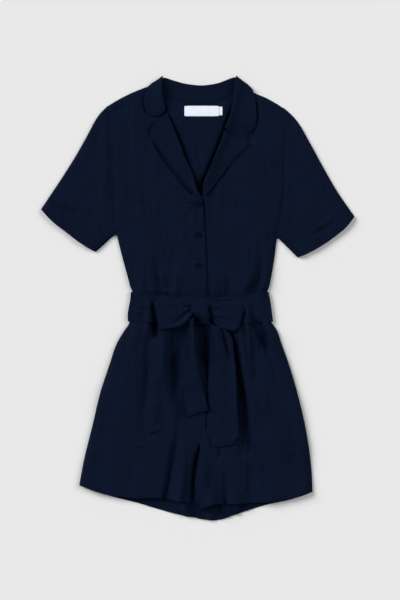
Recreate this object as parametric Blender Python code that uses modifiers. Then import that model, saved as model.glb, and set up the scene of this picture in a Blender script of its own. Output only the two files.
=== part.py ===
"""A short-sleeved romper with a notched collar and a tied sash, laid flat on its back.

Seen from above, +X is to the right, +Y runs towards the neck and +Z is up from the floor.
The origin is the middle of the outline, on the floor. The tables are in millimetres.
"""

import math
from collections import namedtuple

import bmesh
import bpy
import numpy as np

MM = 0.001
WALL = 1.2
GAP = 0.3
NAVY = (0.006, 0.012, 0.030)
WHITE = (0.80, 0.82, 0.86)
COLLECTION = "romper"

# Heights of the layers, as the middle of each cloth wall above the floor
FLOOR_CLOTH = WALL / 2
FRONT_GAP = 0.5
TURNED_GAP = 0.8
TURN_LIFT = 0.1
BELT_LIFT = WALL + GAP
COLLAR_LIFT = 2.4
PLACKET_LIFT = 2.5

# Side seams, armholes and shoulders, from the waist up to the neck
WAIST_SEAM_Y = -15.0
SIDE_LEFT = [(-127, -14.7), (-128, 8), (-134, 22), (-138, 37), (-144.6, 61), (-151, 85), (-162, 129)]
SIDE_RIGHT = [(136, -14.7), (136.5, 8), (142, 22), (147, 45), (151, 69), (155, 97), (158, 123)]
ARMHOLE_LEFT = [(-162, 129), (-166, 141), (-169, 189), (-168, 237), (-168, 267), (-173, 303), (-175.4, 348), (-178.4, 385)]
ARMHOLE_RIGHT = [(158, 123), (161, 137), (167.6, 177), (173, 225), (172.4, 273), (173.6, 337), (170, 381)]
SHOULDER_LEFT = [(-178.4, 385), (-158.6, 397), (-135, 409), (-113, 418), (-95, 425), (-76, 432)]
SHOULDER_RIGHT = [(170, 381), (152, 392), (133, 402), (120, 407), (100, 418), (82, 431)]
BACK_NECK = [(-76, 432), (-68, 417), (-52, 402), (-26, 391), (6, 387), (38, 391), (62, 402), (75, 416), (82, 431)]

# The front edges, then the lines on which the lapels and collar roll over
FRONT_EDGE_LEFT = [(17, -14.7), (15, 100), (11.5, 180), (9, 199)]
ROLL_LEFT = [(9, 199), (2, 209), (-3, 219), (-9, 243), (-27, 284), (-45, 332), (-66, 375), (-71.5, 405), (-76, 432)]
FRONT_EDGE_RIGHT = [(-14, -14.7), (-13, 100), (-10, 175), (-8, 190)]
ROLL_RIGHT = [(-8, 190), (4, 206), (11, 228), (25, 261), (41, 300), (57, 343), (71.5, 386), (77, 407), (82, 431)]
EDGE_BEHIND_ROLL = 3.5

# Sleeves: outer fold, cuff and underarm
SLEEVE_LEFT = {
    "outer": [(-179.5, 385), (-196, 368), (-206, 353), (-214.4, 337), (-241, 289), (-271, 241), (-303, 193), (-313, 178)],
    "cuff": [(-313, 178), (-294, 157), (-264, 133), (-232, 109), (-212, 97), (-204, 93.5)],
    "underarm": [(-163, 128.4), (-174, 120.5), (-186.4, 109), (-204, 93.5)],
}
SLEEVE_RIGHT = {
    "outer": [(171, 381), (180.4, 373), (192.6, 361), (201.8, 349), (222.6, 313), (248.8, 265), (276.4, 217), (313, 163.5)],
    "cuff": [(313, 163.5), (299, 145), (270.8, 121), (233.8, 97), (209, 85), (200, 82)],
    "underarm": [(159, 122.4), (173, 109), (185, 97), (200, 82)],
}

ARMHOLE_CELLS = 11
SLEEVE_GAP = 0.45
SLEEVE_RISE = 2.6
SLEEVE_SEAM = 2.4
SLEEVE_REACH = 18.0
SLEEVE_TURN = 1.6
ARMHOLE_ROUNDING = 4.0

# Shorts: side seams from the waist down, the two hems, and the edges between the legs
OUTSEAM_LEFT = [(-131, -15.3), (-134, -40), (-138, -52), (-146, -64), (-160, -87), (-177, -135), (-193, -183), (-210.4, -255), (-228, -327), (-236.5, -373)]
OUTSEAM_RIGHT = [(141, -15.3), (144, -42), (150, -52), (158, -64), (166, -87), (183, -135), (203.6, -207), (219, -279), (227.6, -351), (229, -386)]
CENTRE_FRONT = [(17, -15.3), (16, -120), (10, -230), (4, -290)]
FRONT_INSEAM_LEFT = [(3, -293), (-8, -343), (-15, -383), (-15, -407)]
FRONT_INSEAM_RIGHT = [(6, -297), (2, -343), (0, -383), (1, -422)]
FRONT_HEM_LEFT = [(-236.5, -373), (-187, -390), (-122, -399), (-68, -399), (-39, -403), (-15, -407)]
FRONT_HEM_RIGHT = [(1, -422), (12, -417), (24, -411), (63, -410), (143, -406.5), (194, -398), (229, -386)]
CENTRE_BACK = [(10, -15.3), (9, -150), (4, -290)]
BACK_INSEAM = [(4, -293), (-7, -380), (4, -440)]
BACK_HEM_LEFT = [(-236.5, -373), (-187, -391), (-111, -411), (-57, -427), (4, -440)]
BACK_HEM_RIGHT = [(4, -440), (38, -443), (78, -431), (127, -415), (195, -399), (229, -386)]

# How far the front stands off the back, along the garment
Rise = namedtuple("Rise", "y height")
FRONT_RISE = [
    Rise(-430, 5.5), Rise(-390, 6), Rise(-300, 8), Rise(-200, 9), Rise(-120, 8.5), Rise(-80, 6),
    Rise(-50, 1.6), Rise(-15, 1.4), Rise(10, 2.4), Rise(32, 7), Rise(70, 6.8), Rise(150, 6),
    Rise(250, 5.5), Rise(330, 4.5), Rise(400, 2), Rise(440, 0.5),
]
EDGE_REACH = 22.0
FOLD_ROOM = 5.0
LOWEST_RISE = 0.3

# Folds of the front: a line from above, half its width, and its height at the start, middle and end
Fold = namedtuple("Fold", "name line half_width start middle end")
FOLDS = [
    Fold("deep right valley", [(68, -80), (76, -130), (84, -195), (92, -255), (106, -310)], 10, -3, -9, -2),
    Fold("ridge beside it", [(96, -64), (98, -110), (104, -180), (118, -250)], 12, 1.5, 4, 0),
    Fold("right hip valley", [(106, -56), (132, -86), (148, -126), (160, -180)], 11, -4, -5, 0),
    Fold("valley between the tails", [(20, -70), (19, -120), (16, -190)], 10, -3, -5, -1),
    Fold("valley left of the tails", [(-46, -72), (-46, -120), (-50, -200)], 13, -3, -6, -1),
    Fold("left hip valley", [(-92, -58), (-96, -110), (-98, -170), (-108, -240)], 12, -2, -4, 0),
    Fold("left pleat ridge", [(-72, -66), (-70, -140), (-74, -230)], 12, 1, 3, 0),
    Fold("left inner leg valley", [(-36, -255), (-48, -300), (-62, -350), (-67, -402)], 10, -1, -6, -5),
    Fold("left inner leg ridge", [(-22, -300), (-32, -350), (-36, -402)], 10, 0, 3, 4),
    Fold("right inner leg ridge", [(14, -300), (18, -350), (14, -410)], 11, 1, 3, 3),
    Fold("right leg valley", [(50, -370), (52, -412)], 9, 0, -3, -4),
    Fold("right leg lower valley", [(106, -310), (108, -360), (107, -408)], 14, -3, -3, -2),
    Fold("right blouson valley", [(132, 96), (126, 60), (112, 26), (98, 10)], 10, 0, -6, -3),
    Fold("left blouson valley", [(-84, 62), (-78, 34), (-72, 8)], 13, 0, -3, -2),
    Fold("blouson ridge", [(-44, 50), (-43, 14)], 9, 0, 2, 1),
    Fold("right blouson ridge", [(66, 60), (76, 20)], 16, 0, 2, 1),
]

# The collar behind the neck, as sections across it from left to right: where it is sewn,
# where it rolls over, and the edge of its fall, which lies under the back
Section = namedtuple("Section", "seam roll outer")
COLLAR_BACK = [
    Section((-68, 424), (-66, 440), (-103, 419)), Section((-62, 413), (-58, 438), (-84, 403)),
    Section((-49, 402), (-42, 433.5), (-54, 389)), Section((-25, 392.5), (-22, 428.5), (-26, 380)),
    Section((6, 388.5), (8, 425.5), (6, 377)), Section((37, 392.5), (38, 429.5), (40, 380)),
    Section((59, 402), (54, 435), (68, 389)), Section((69, 413), (66, 439), (94, 401)),
    Section((74, 424), (73, 440), (112, 416)),
]

# What is turned back over the fronts: its roll, its outer edge, and its two ends
LAPEL_LEFT = {
    "roll": [(7, 201.5), (-3, 219), (-9, 243), (-27, 284), (-45, 332), (-62.5, 370.5)],
    "outer": [(4, 199), (-9, 215), (-37, 249), (-62, 281), (-86, 315), (-92.5, 333)],
    "end": [(-62.5, 370.5), (-69, 363.5), (-74, 354.5), (-87, 346.5), (-92.5, 333)],
}
LAPEL_RIGHT = {
    "roll": [(11.5, 207), (12, 228), (25, 261), (41, 300), (50, 324), (53, 335)],
    "outer": [(17, 205), (30, 225), (48, 247), (66, 268), (84, 287), (102, 301)],
    "end": [(53, 335), (64, 324), (80, 315), (94, 311), (103, 308), (102, 301)],
}
LEAF_LEFT = {
    "roll": [(-64.5, 374.5), (-68, 390), (-71, 405), (-71.5, 425), (-70, 442)],
    "outer": [(-101, 370), (-106, 383), (-106.5, 398), (-106, 411), (-105, 426)],
    "end": [(-70, 442), (-82, 438), (-93, 433), (-105, 426)],
    "start": [(-64.5, 374.5), (-72, 367), (-80, 363.5), (-91, 364), (-101, 370)],
}
LEAF_RIGHT = {
    "roll": [(54, 340), (61, 356), (66, 370), (69.5, 386), (72.5, 405), (75, 422), (77.5, 442)],
    "outer": [(115.5, 342), (116, 360), (114.5, 392), (115, 407), (110.5, 421)],
    "end": [(77.5, 442), (86.5, 439), (100, 429.5), (110.5, 421)],
    "start": [(54, 340), (66, 329), (80, 322), (97, 330), (115.5, 342)],
}
COLLAR_STAND = 2.4
STAND_REACH = 20.0
NARROW_LAPEL = 24.0
TUCK_WIDTH = 9.0
LIE_OFF = 0.5
ROLL_RADIUS = 0.9
BACK_ROLL_RADIUS = 1.4
LEAF_EDGE_HEIGHT = 3.2
LEAF_EDGE_REACH = 6.0

# The sash round the waist, and its bow
BELT_LEFT = [(-139.5, -45.5), (-140, -35), (-138, -19), (-135, -3), (-133.5, 13)]
BELT_RIGHT = [(150.5, -46.5), (149, -35), (147, -19), (144.5, -3), (141.5, 13)]
BELT_DIP = 12.0
BELT_GAP = 0.9
BELT_TURN = 2.2
TAIL_GAP = 0.7
Pinch = namedtuple("Pinch", "x low high height")
LOOP_LEFT = [
    Pinch(-11.4, -33, -20, 5), Pinch(-24, -50, -13, 8), Pinch(-38, -60, -4, 10), Pinch(-58, -61, -3, 8),
    Pinch(-78, -63, -4, 6),
]
LOOP_RIGHT = [
    Pinch(25.4, -43, -28, 5), Pinch(40, -54, -20, 8), Pinch(55, -62, -16, 9), Pinch(70, -65, -14, 8),
    Pinch(82, -63, -14, 6),
]
LOOP_GAP = 0.7
LOOP_END = 4.0
LOOP_PLEAT = 1.2
KNOT_LEFT, KNOT_RIGHT = -11.0, 25.0
KNOT_LOW = [(-11, -31), (4, -44), (14, -52), (25, -57)]
KNOT_HIGH = [(-11, -18), (4, -14), (14, -12), (25, -12)]
KNOT_FLOOR = 3.4
KNOT_HEIGHT = 14.0
KNOT_SQUARENESS = 0.5
Cross = namedtuple("Cross", "left left_y right right_y")
TAIL_LEFT = [
    Cross(-9, -40, -1, -42), Cross(-16, -52, -6, -52), Cross(-20, -66, -6.5, -66), Cross(-25, -92, -4.5, -93),
    Cross(-35, -115, -2.5, -115), Cross(-36.5, -160, 6, -157), Cross(-35, -205, 16.5, -200), Cross(-26, -237, 20, -222),
]
TAIL_RIGHT = [
    Cross(22, -49, 30, -49), Cross(29, -60, 42, -58), Cross(30.5, -73, 57, -70), Cross(28, -91, 68, -88),
    Cross(26, -116, 73, -114), Cross(23.5, -167, 76.5, -167), Cross(21, -235, 79, -240), Cross(31, -297, 78, -288),
]

BUTTON_RADIUS = 5.5
BUTTON_THICKNESS = 2.2
BUTTON_BEVEL = 0.6
BUTTON_SEAT = 0.5
BUTTONS = [(0, 190), (0.5, 128), (1, 66)]
LABEL = {"left": -27.5, "right": 41.0, "low": 364.5, "high": 384.0}
SIZE_TAB = {"left": 41.5, "right": 47.0, "low": 367.0, "high": 381.5}
LABEL_THICKNESS = 0.7
LABEL_SEAT = 0.45


def clear_scene():
    for old in list(bpy.data.objects):
        bpy.data.objects.remove(old, do_unlink=True)


def cloth_material(name, colour, roughness):
    material = bpy.data.materials.new(name)
    material.use_nodes = True
    shader = material.node_tree.nodes["Principled BSDF"]
    shader.inputs["Base Color"].default_value = (*colour, 1)
    shader.inputs["Roughness"].default_value = roughness
    shader.inputs["Metallic"].default_value = 0
    return material


def soft_step(t):
    t = np.clip(t, 0, 1)
    return t * t * (3 - 2 * t)


def through(knots, values, at):
    """A smooth curve through the values at the knots, read at the given places."""
    knots = np.asarray(knots, float)
    values = np.asarray(values, float).reshape(len(knots), -1)
    at = np.atleast_1d(np.asarray(at, float))
    slopes = np.gradient(values, knots, axis=0)
    span = np.clip(np.searchsorted(knots, at, side="right") - 1, 0, len(knots) - 2)
    width = (knots[span + 1] - knots[span])[:, None]
    t = np.clip((at - knots[span])[:, None] / width, 0, 1)
    first = values[span] * (1 + 2 * t) + slopes[span] * width * t
    last = values[span + 1] * (3 - 2 * t) - slopes[span + 1] * width * (1 - t)
    return first * (1 - t) ** 2 + last * t ** 2


def along(points, cells):
    """Points evenly spaced along a smooth line through the given points."""
    points = np.asarray(points, float)
    if len(points) == 2:
        return points[0] + np.linspace(0, 1, cells + 1)[:, None] * (points[1] - points[0])
    steps = np.linalg.norm(np.diff(points, axis=0), axis=1)
    knots = np.concatenate([[0], np.cumsum(steps)])
    fine = through(knots, points, np.linspace(0, knots[-1], 40 * len(points)))
    walked = np.concatenate([[0], np.cumsum(np.linalg.norm(np.diff(fine, axis=0), axis=1))])
    wanted = np.linspace(0, walked[-1], cells + 1)
    return np.column_stack([np.interp(wanted, walked, fine[:, k]) for k in range(points.shape[1])])


def edge(*runs):
    """One edge from (line, cells) runs that meet at corners."""
    parts = [along(line, cells) for line, cells in runs]
    return np.concatenate([parts[0]] + [part[1:] for part in parts[1:]])


def patch(bottom, top, left, right):
    """The plan points of a panel between four edges, as rows from the bottom to the top."""
    u = np.linspace(0, 1, len(bottom))[None, :, None]
    v = np.linspace(0, 1, len(left))[:, None, None]
    across = (1 - v) * bottom[None] + v * top[None]
    up = (1 - u) * left[:, None] + u * right[:, None]
    corners = (1 - v) * ((1 - u) * bottom[0] + u * bottom[-1]) + v * ((1 - u) * top[0] + u * top[-1])
    return across + up - corners


def nearest(x, y, line):
    """The distance from each place to a line, and how far along it the nearest point is."""
    line = np.asarray(line, float)
    x, y = np.asarray(x, float), np.asarray(y, float)
    steps = np.linalg.norm(np.diff(line, axis=0), axis=1)
    starts = np.concatenate([[0], np.cumsum(steps)])
    best, share = np.full(x.shape, np.inf), np.zeros(x.shape)
    for i, step in enumerate(steps):
        way = (line[i + 1] - line[i]) / step
        t = np.clip((x - line[i, 0]) * way[0] + (y - line[i, 1]) * way[1], 0, step)
        away = np.hypot(x - line[i, 0] - t * way[0], y - line[i, 1] - t * way[1])
        closer = away < best
        best = np.where(closer, away, best)
        share = np.where(closer, (starts[i] + t) / starts[-1], share)
    return best, share


def back_lift(x, y):
    """How far the back lies off the floor, over the sash and over the collar behind the neck."""
    under_belt = soft_step((y + 96) / 38) * soft_step((66 - y) / 38)
    wide = soft_step((156 - np.abs(x - 4)) / 36)
    over_collar = soft_step((y - 310) / 56) * wide
    return BELT_LIFT * under_belt + COLLAR_LIFT * over_collar


def back_height(x, y):
    return FLOOR_CLOTH + back_lift(x, y)


OUTLINE_LINES = [
    along(SIDE_LEFT, 12), along(SIDE_RIGHT, 12), along(ARMHOLE_LEFT, 14), along(ARMHOLE_RIGHT, 14),
    along(SHOULDER_LEFT, 10), along(SHOULDER_RIGHT, 10), along(OUTSEAM_LEFT, 16), along(OUTSEAM_RIGHT, 16),
]
LEG_LINES = [along(FRONT_INSEAM_LEFT, 8), along(FRONT_INSEAM_RIGHT, 8)]
LEG_REACH = 12.0
LEG_DROP = 0.75


def front_rise(x, y):
    """How far the front stands off the back before its folds: rounded down to every side edge."""
    table = sorted(FRONT_RISE)
    rise = through([row.y for row in table], [row.height for row in table], np.ravel(y))[:, 0]
    away = np.min([nearest(x, y, line)[0] for line in OUTLINE_LINES], axis=0)
    inside = np.clip(away / EDGE_REACH, 0, 1)
    legs = np.min([nearest(x, y, line)[0] for line in LEG_LINES], axis=0)
    drop = 1 - LEG_DROP * soft_step(1 - legs / LEG_REACH)
    return rise.reshape(np.shape(y)) * np.sqrt(1 - (1 - inside) ** 2) * drop


def fold_height(x, y, fold):
    away, share = nearest(x, y, along(fold.line, 10))
    strength = through([0, 0.5, 1], [fold.start, fold.middle, fold.end], np.ravel(share))[:, 0]
    return strength.reshape(np.shape(x)) * np.exp(-((away / fold.half_width) ** 2))


def front_height(x, y, valleys=True):
    """The middle of the front's wall. Without the valleys, it is what a piece lying on it follows."""
    rise = front_rise(x, y)
    room = np.clip(rise / FOLD_ROOM, 0, 1)
    for fold in FOLDS:
        height = fold_height(x, y, fold) * room
        rise = rise + (height if valleys else np.maximum(height, 0))
    rise = (rise + np.sqrt(rise ** 2 + LOWEST_RISE)) / 2
    return back_height(x, y) + WALL + FRONT_GAP + rise


def placket_lift(x, y):
    """The left front lies over the right one beside the buttons."""
    return PLACKET_LIFT * soft_step((x + 62) / 36) * np.ones_like(y)


def no_lift(x, y):
    return 0 * x


def heights(plan, height):
    """Plan points with their heights, ready for a sheet."""
    x, y = plan[..., 0], plan[..., 1]
    return np.dstack([x, y, height(x, y)])


def add_object(name, mesh, material):
    made = bpy.data.objects.new(name, mesh)
    made.data.materials.append(material)
    bpy.data.collections[COLLECTION].objects.link(made)
    return made


def sheet(name, points, material, wall=WALL, ring=False):
    """A cloth wall whose middle runs through a grid of points. A ring's last column meets its first."""
    rows, columns = points.shape[:2]
    made = bmesh.new()
    bmesh.ops.create_grid(made, x_segments=columns - 1, y_segments=rows - 1, size=1)
    for corner in made.verts:
        column = round((corner.co.x + 1) / 2 * (columns - 1))
        row = round((corner.co.y + 1) / 2 * (rows - 1))
        corner.co = points[row, column] * MM
    if ring:
        bmesh.ops.remove_doubles(made, verts=made.verts, dist=1e-6)
    mesh = bpy.data.meshes.new(name)
    made.to_mesh(mesh)
    made.free()
    piece = add_object(name, mesh, material)
    solid = piece.modifiers.new("wall", "SOLIDIFY")
    solid.thickness = wall * MM
    solid.offset = 0
    solid.use_even_offset = True
    return piece


def beside(line, distance):
    """A line moved sideways, to its left as it runs."""
    way = np.gradient(line, axis=0)
    way /= np.linalg.norm(way, axis=1)[:, None]
    return line + distance * np.column_stack([-way[:, 1], way[:, 0]])


def make_back(cloth):
    bottom = along([SIDE_LEFT[0], SIDE_RIGHT[0]], 14)
    top = edge((SHOULDER_LEFT, 4), (BACK_NECK, 6), (SHOULDER_RIGHT[::-1], 4))
    left = edge((SIDE_LEFT, 5), (ARMHOLE_LEFT, ARMHOLE_CELLS))
    right = edge((SIDE_RIGHT, 5), (ARMHOLE_RIGHT, ARMHOLE_CELLS))
    sheet("back_bodice", heights(patch(bottom, top, left, right), back_height), cloth)


def make_front_bodice(cloth):
    left_edge = edge((FRONT_EDGE_LEFT, 7), (ROLL_LEFT, ARMHOLE_CELLS))
    left_edge[8:] = beside(left_edge, EDGE_BEHIND_ROLL)[8:]
    left_edge[-1] = SHOULDER_LEFT[-1]
    plan = patch(
        along([SIDE_LEFT[0], FRONT_EDGE_LEFT[0]], 12), along(SHOULDER_LEFT, 12),
        edge((SIDE_LEFT, 7), (ARMHOLE_LEFT, ARMHOLE_CELLS)), left_edge,
    )
    sheet("front_bodice_left", heights(plan, lambda x, y: front_height(x, y) + placket_lift(x, y)), cloth)
    right_edge = edge((FRONT_EDGE_RIGHT, 7), (ROLL_RIGHT, ARMHOLE_CELLS))
    right_edge[8:] = beside(right_edge, -EDGE_BEHIND_ROLL)[8:]
    right_edge[-1] = SHOULDER_RIGHT[-1]
    plan = patch(
        along([FRONT_EDGE_RIGHT[0], SIDE_RIGHT[0]], 12), along(SHOULDER_RIGHT[::-1], 12),
        right_edge, edge((SIDE_RIGHT, 7), (ARMHOLE_RIGHT, ARMHOLE_CELLS)),
    )
    sheet("front_bodice_right", heights(plan, front_height), cloth)


def make_sleeve(name, armhole, lines, cloth, mirrored):
    """A flattened tube: across the top from the outer fold to the underarm, and back underneath."""
    rows, columns = 8, ARMHOLE_CELLS
    across_armhole = beside(along(armhole[::-1], columns), SLEEVE_GAP if mirrored else -SLEEVE_GAP)
    outer, under = along(lines["outer"], rows), along(lines["underarm"], rows)
    cuff = along(lines["cuff"], columns)
    outer[0], under[0] = across_armhole[0], across_armhole[-1]
    plan = patch(across_armhole, cuff, outer, under)
    x, y = plan[..., 0], plan[..., 1]
    away = np.minimum(nearest(x, y, outer)[0], nearest(x, y, under)[0])
    away = np.minimum(away, ARMHOLE_ROUNDING + nearest(x, y, across_armhole)[0])
    inside = np.clip(away / SLEEVE_REACH, 0, 1)
    top = FLOOR_CLOTH + SLEEVE_SEAM + SLEEVE_RISE * np.sqrt(1 - (1 - inside) ** 2)
    inward = plan.copy()
    for at, beyond in ((0, 1), (-1, -2)):
        way = plan[:, beyond] - plan[:, at]
        inward[:, at] += way / np.linalg.norm(way, axis=1)[:, None] * SLEEVE_TURN
    upper = np.dstack([inward, top])
    lower = np.dstack([inward, np.full(top.shape, FLOOR_CLOTH + TURN_LIFT)])
    turns = np.dstack([plan, np.full(top.shape, FLOOR_CLOTH + SLEEVE_SEAM / 2)])
    ring = np.concatenate([turns[:, :1], upper, turns[:, -1:], lower[:, ::-1], turns[:, :1]], axis=1)
    if mirrored:
        ring = ring[:, ::-1]
    sheet(name, ring, cloth, ring=True)


def make_shorts(cloth):
    plan = patch(
        edge((FRONT_HEM_LEFT[:3], 5), (FRONT_HEM_LEFT[2:], 9)), along([OUTSEAM_LEFT[0], CENTRE_FRONT[0]], 14),
        along(OUTSEAM_LEFT, 22)[::-1], edge((CENTRE_FRONT, 14), (FRONT_INSEAM_LEFT, 8))[::-1],
    )
    plan[:, -1, 0] -= GAP
    sheet("shorts_front_left", heights(plan, front_height), cloth)
    plan = patch(
        edge((FRONT_HEM_RIGHT[:5], 9), (FRONT_HEM_RIGHT[4:], 5)), along([CENTRE_FRONT[0], OUTSEAM_RIGHT[0]], 14),
        edge((CENTRE_FRONT, 14), (FRONT_INSEAM_RIGHT, 8))[::-1], along(OUTSEAM_RIGHT, 22)[::-1],
    )
    plan[:, 0, 0] += GAP
    sheet("shorts_front_right", heights(plan, front_height), cloth)
    between = edge((CENTRE_BACK, 12), (BACK_INSEAM, 6))[::-1]
    plan = patch(
        along(BACK_HEM_LEFT, 8), along([OUTSEAM_LEFT[0], CENTRE_BACK[0]], 8),
        along(OUTSEAM_LEFT, 18)[::-1], between,
    )
    plan[:, -1, 0] -= GAP
    sheet("shorts_back_left", heights(plan, back_height), cloth)
    plan = patch(
        along(BACK_HEM_RIGHT, 8), along([CENTRE_BACK[0], OUTSEAM_RIGHT[0]], 8),
        between, along(OUTSEAM_RIGHT, 18)[::-1],
    )
    plan[:, 0, 0] += GAP
    sheet("shorts_back_right", heights(plan, back_height), cloth)


def make_collar_back(cloth):
    """The stand rises from the neck seam to the roll, and the fall comes back under the garment."""
    columns = []
    for section in COLLAR_BACK:
        seam, roll, outer = (np.array(place, float) for place in section)
        to_seam = (seam - roll) / np.linalg.norm(seam - roll)
        to_outer = (outer - roll) / np.linalg.norm(outer - roll)
        stand_height = float(back_height(*seam))
        middle = (stand_height + FLOOR_CLOTH) / 2
        stand = [seam, (seam + roll) / 2, roll + to_seam * BACK_ROLL_RADIUS]
        fall = [roll + to_outer * BACK_ROLL_RADIUS, roll * 0.6 + outer * 0.4, roll * 0.3 + outer * 0.7, outer]
        column = [(*place, stand_height) for place in stand] + [(*roll, middle)]
        columns.append(column + [(*place, FLOOR_CLOTH + TURN_LIFT) for place in fall])
    sheet("collar_back", np.array(columns), cloth)


def make_turned_back(name, lines, cloth, lift, rows=12, edge_height=None):
    """Cloth folded at the roll line: a narrow strip underneath, and the lapel or collar leaf over it."""
    roll, outer = along(lines["roll"], rows), along(lines["outer"], rows)
    start = along(lines.get("start", [roll[0], outer[0]]), 5)
    plan = patch(start, along(lines["end"], 5), roll, outer)
    x, y = plan[..., 0], plan[..., 1]
    across = plan[:, 1] - plan[:, 0]
    across /= np.linalg.norm(across, axis=1)[:, None]
    room = np.linalg.norm(plan[:, -1] - plan[:, 0], axis=1)
    near_roll = 1 - soft_step(np.hypot(x - x[:, :1], y - y[:, :1]) / STAND_REACH)
    slim = soft_step(room / NARROW_LAPEL)[:, None]
    base = front_height(x, y, valleys=False) + lift(x, y) + WALL + TURNED_GAP
    over = np.dstack([x, y, base + COLLAR_STAND * near_roll * slim + LIE_OFF])
    over[:, 0, :2] += across * ROLL_RADIUS
    turn = np.column_stack([plan[:, 0], base[:, 0] + (LIE_OFF + COLLAR_STAND * slim[:, 0]) / 2])
    tuck = plan[:, 0] + across * np.minimum(TUCK_WIDTH, room * 0.5)[:, None]
    tuck_height = front_height(tuck[:, 0], tuck[:, 1], valleys=False) + lift(tuck[:, 0], tuck[:, 1])
    tuck_height += WALL + TURNED_GAP
    under = np.column_stack([tuck, tuck_height])
    near = np.column_stack([plan[:, 0] + across * ROLL_RADIUS, base[:, 0]])
    grid = np.concatenate([np.stack([under, near, turn], axis=1), over], axis=1)
    if edge_height:
        away = nearest(grid[..., 0], grid[..., 1], along(lines["end"], 10))[0]
        rounding = 1 - np.sqrt(1 - (1 - np.clip(away / LEAF_EDGE_REACH, 0, 1)) ** 2)
        grid[..., 2] -= (grid[..., 2] - edge_height) * rounding
    sheet(name, grid, cloth)


def belt_front(x, y):
    """The sash over the fronts, which lie one on the other beside the placket."""
    step = PLACKET_LIFT * soft_step((x + 66) / 36) * soft_step((44 - x) / 22)
    at_waist = front_height(x, 0 * y + WAIST_SEAM_Y)
    return np.maximum(at_waist, front_height(x, np.clip(y, -60, 20))) + WALL + BELT_GAP + step


def make_belt(cloth):
    rows, front_columns, back_columns = 4, 18, 8
    left, right = along(BELT_LEFT, rows), along(BELT_RIGHT, rows)
    grid = []
    for share, (left_x, left_y), (right_x, right_y) in zip(np.linspace(0.5, 1, rows + 1), left, right):
        x = np.linspace(left_x + BELT_TURN, right_x - BELT_TURN, front_columns + 1)
        sag = BELT_DIP * share * np.sin(np.pi * (x - left_x) / (right_x - left_x))
        y = np.interp(x, (left_x, right_x), (left_y, right_y)) - sag
        front = np.column_stack([x, y, belt_front(x, y)])
        x = np.linspace(right_x - BELT_TURN, left_x + BELT_TURN, back_columns + 1)
        y = np.interp(x, (left_x, right_x), (left_y, right_y))
        back = np.column_stack([x, y, np.full(x.shape, FLOOR_CLOTH)])
        ring = [front]
        for side_x, side_y, reach, top in (
            (right_x, right_y, -WALL / 2, front[-1, 2]), (left_x, left_y, WALL / 2, front[0, 2]),
        ):
            high, low = top - BELT_TURN * 0.8, FLOOR_CLOTH + BELT_TURN * 0.8
            turn = [(side_x + reach, side_y, high), (side_x + reach, side_y, low)]
            ring += [turn, back] if side_x > 0 else [turn[::-1], front[:1]]
        grid.append(np.concatenate(ring))
    sheet("belt_band", np.array(grid), cloth, ring=True)


def make_loop(name, stations, cloth, outwards):
    """A loop of the bow: under, round its end, and back over the top, pleated where it is pinched."""
    shares = np.linspace(0, 1, 6)
    under, over = [], []
    for station in stations:
        y = station.low + (station.high - station.low) * shares
        x = np.full(y.shape, float(station.x))
        floor = belt_front(x, y) + WALL + LOOP_GAP
        pleat = np.cos(shares * 4 * np.pi) * LOOP_PLEAT * soft_step(1 - abs(station.x - stations[0].x) / 30)
        rounded = station.height * (0.62 + 0.38 * np.sin(shares * np.pi))
        under.append(np.column_stack([x, y, floor]))
        over.append(np.column_stack([x, y, floor + rounded + pleat]))
    low, high = under[-1], over[-1]
    turn = []
    for reach, rise in ((0.8, 0.2), (1.0, 0.5), (0.8, 0.8)):
        turn.append(low + (high - low) * rise + [outwards * LOOP_END * reach, 0, 0])
    grid = np.array(under + turn + over[::-1]).transpose(1, 0, 2)
    sheet(name, grid if outwards > 0 else grid[::-1], cloth)


def make_knot(cloth):
    """The wrap over the middle of the bow, rounded like a small cushion and fanned out to the right."""
    made = bmesh.new()
    bmesh.ops.create_uvsphere(made, u_segments=20, v_segments=12, radius=1)
    centre = (KNOT_LEFT + KNOT_RIGHT) / 2
    floor = float(belt_front(np.array([centre]), np.array([WAIST_SEAM_Y]))[0]) + KNOT_FLOOR
    for corner in made.verts:
        a, b, c = (math.copysign(abs(part) ** KNOT_SQUARENESS, part) for part in corner.co)
        x = centre + (KNOT_RIGHT - KNOT_LEFT) / 2 * a
        low = np.interp(x, *zip(*KNOT_LOW))
        high = np.interp(x, *zip(*KNOT_HIGH))
        y = (low + high) / 2 + (high - low) / 2 * b
        corner.co = (x * MM, y * MM, (floor + KNOT_HEIGHT / 2 * (1 + c)) * MM)
    mesh = bpy.data.meshes.new("bow_knot")
    made.to_mesh(mesh)
    made.free()
    add_object("bow_knot", mesh, cloth)


def tail_height(x, y):
    """A tail of the sash lies over the belt, then along the ridges of the front."""
    belt = belt_front(x, y)
    shorts = front_height(x, y, valleys=False)
    share = soft_step((-46 - y) / 26)
    return belt * (1 - share) + np.maximum(shorts, belt * (1 - share)) * share + WALL + TAIL_GAP


def make_tail(name, stations, cloth):
    rows, columns = 14, 4
    left = along([(row.left, row.left_y) for row in stations], rows)
    right = along([(row.right, row.right_y) for row in stations], rows)
    shares = np.linspace(0, 1, columns + 1)[None, :, None]
    plan = left[:, None] * (1 - shares) + right[:, None] * shares
    sheet(name, heights(plan, tail_height)[::-1], cloth)


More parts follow.
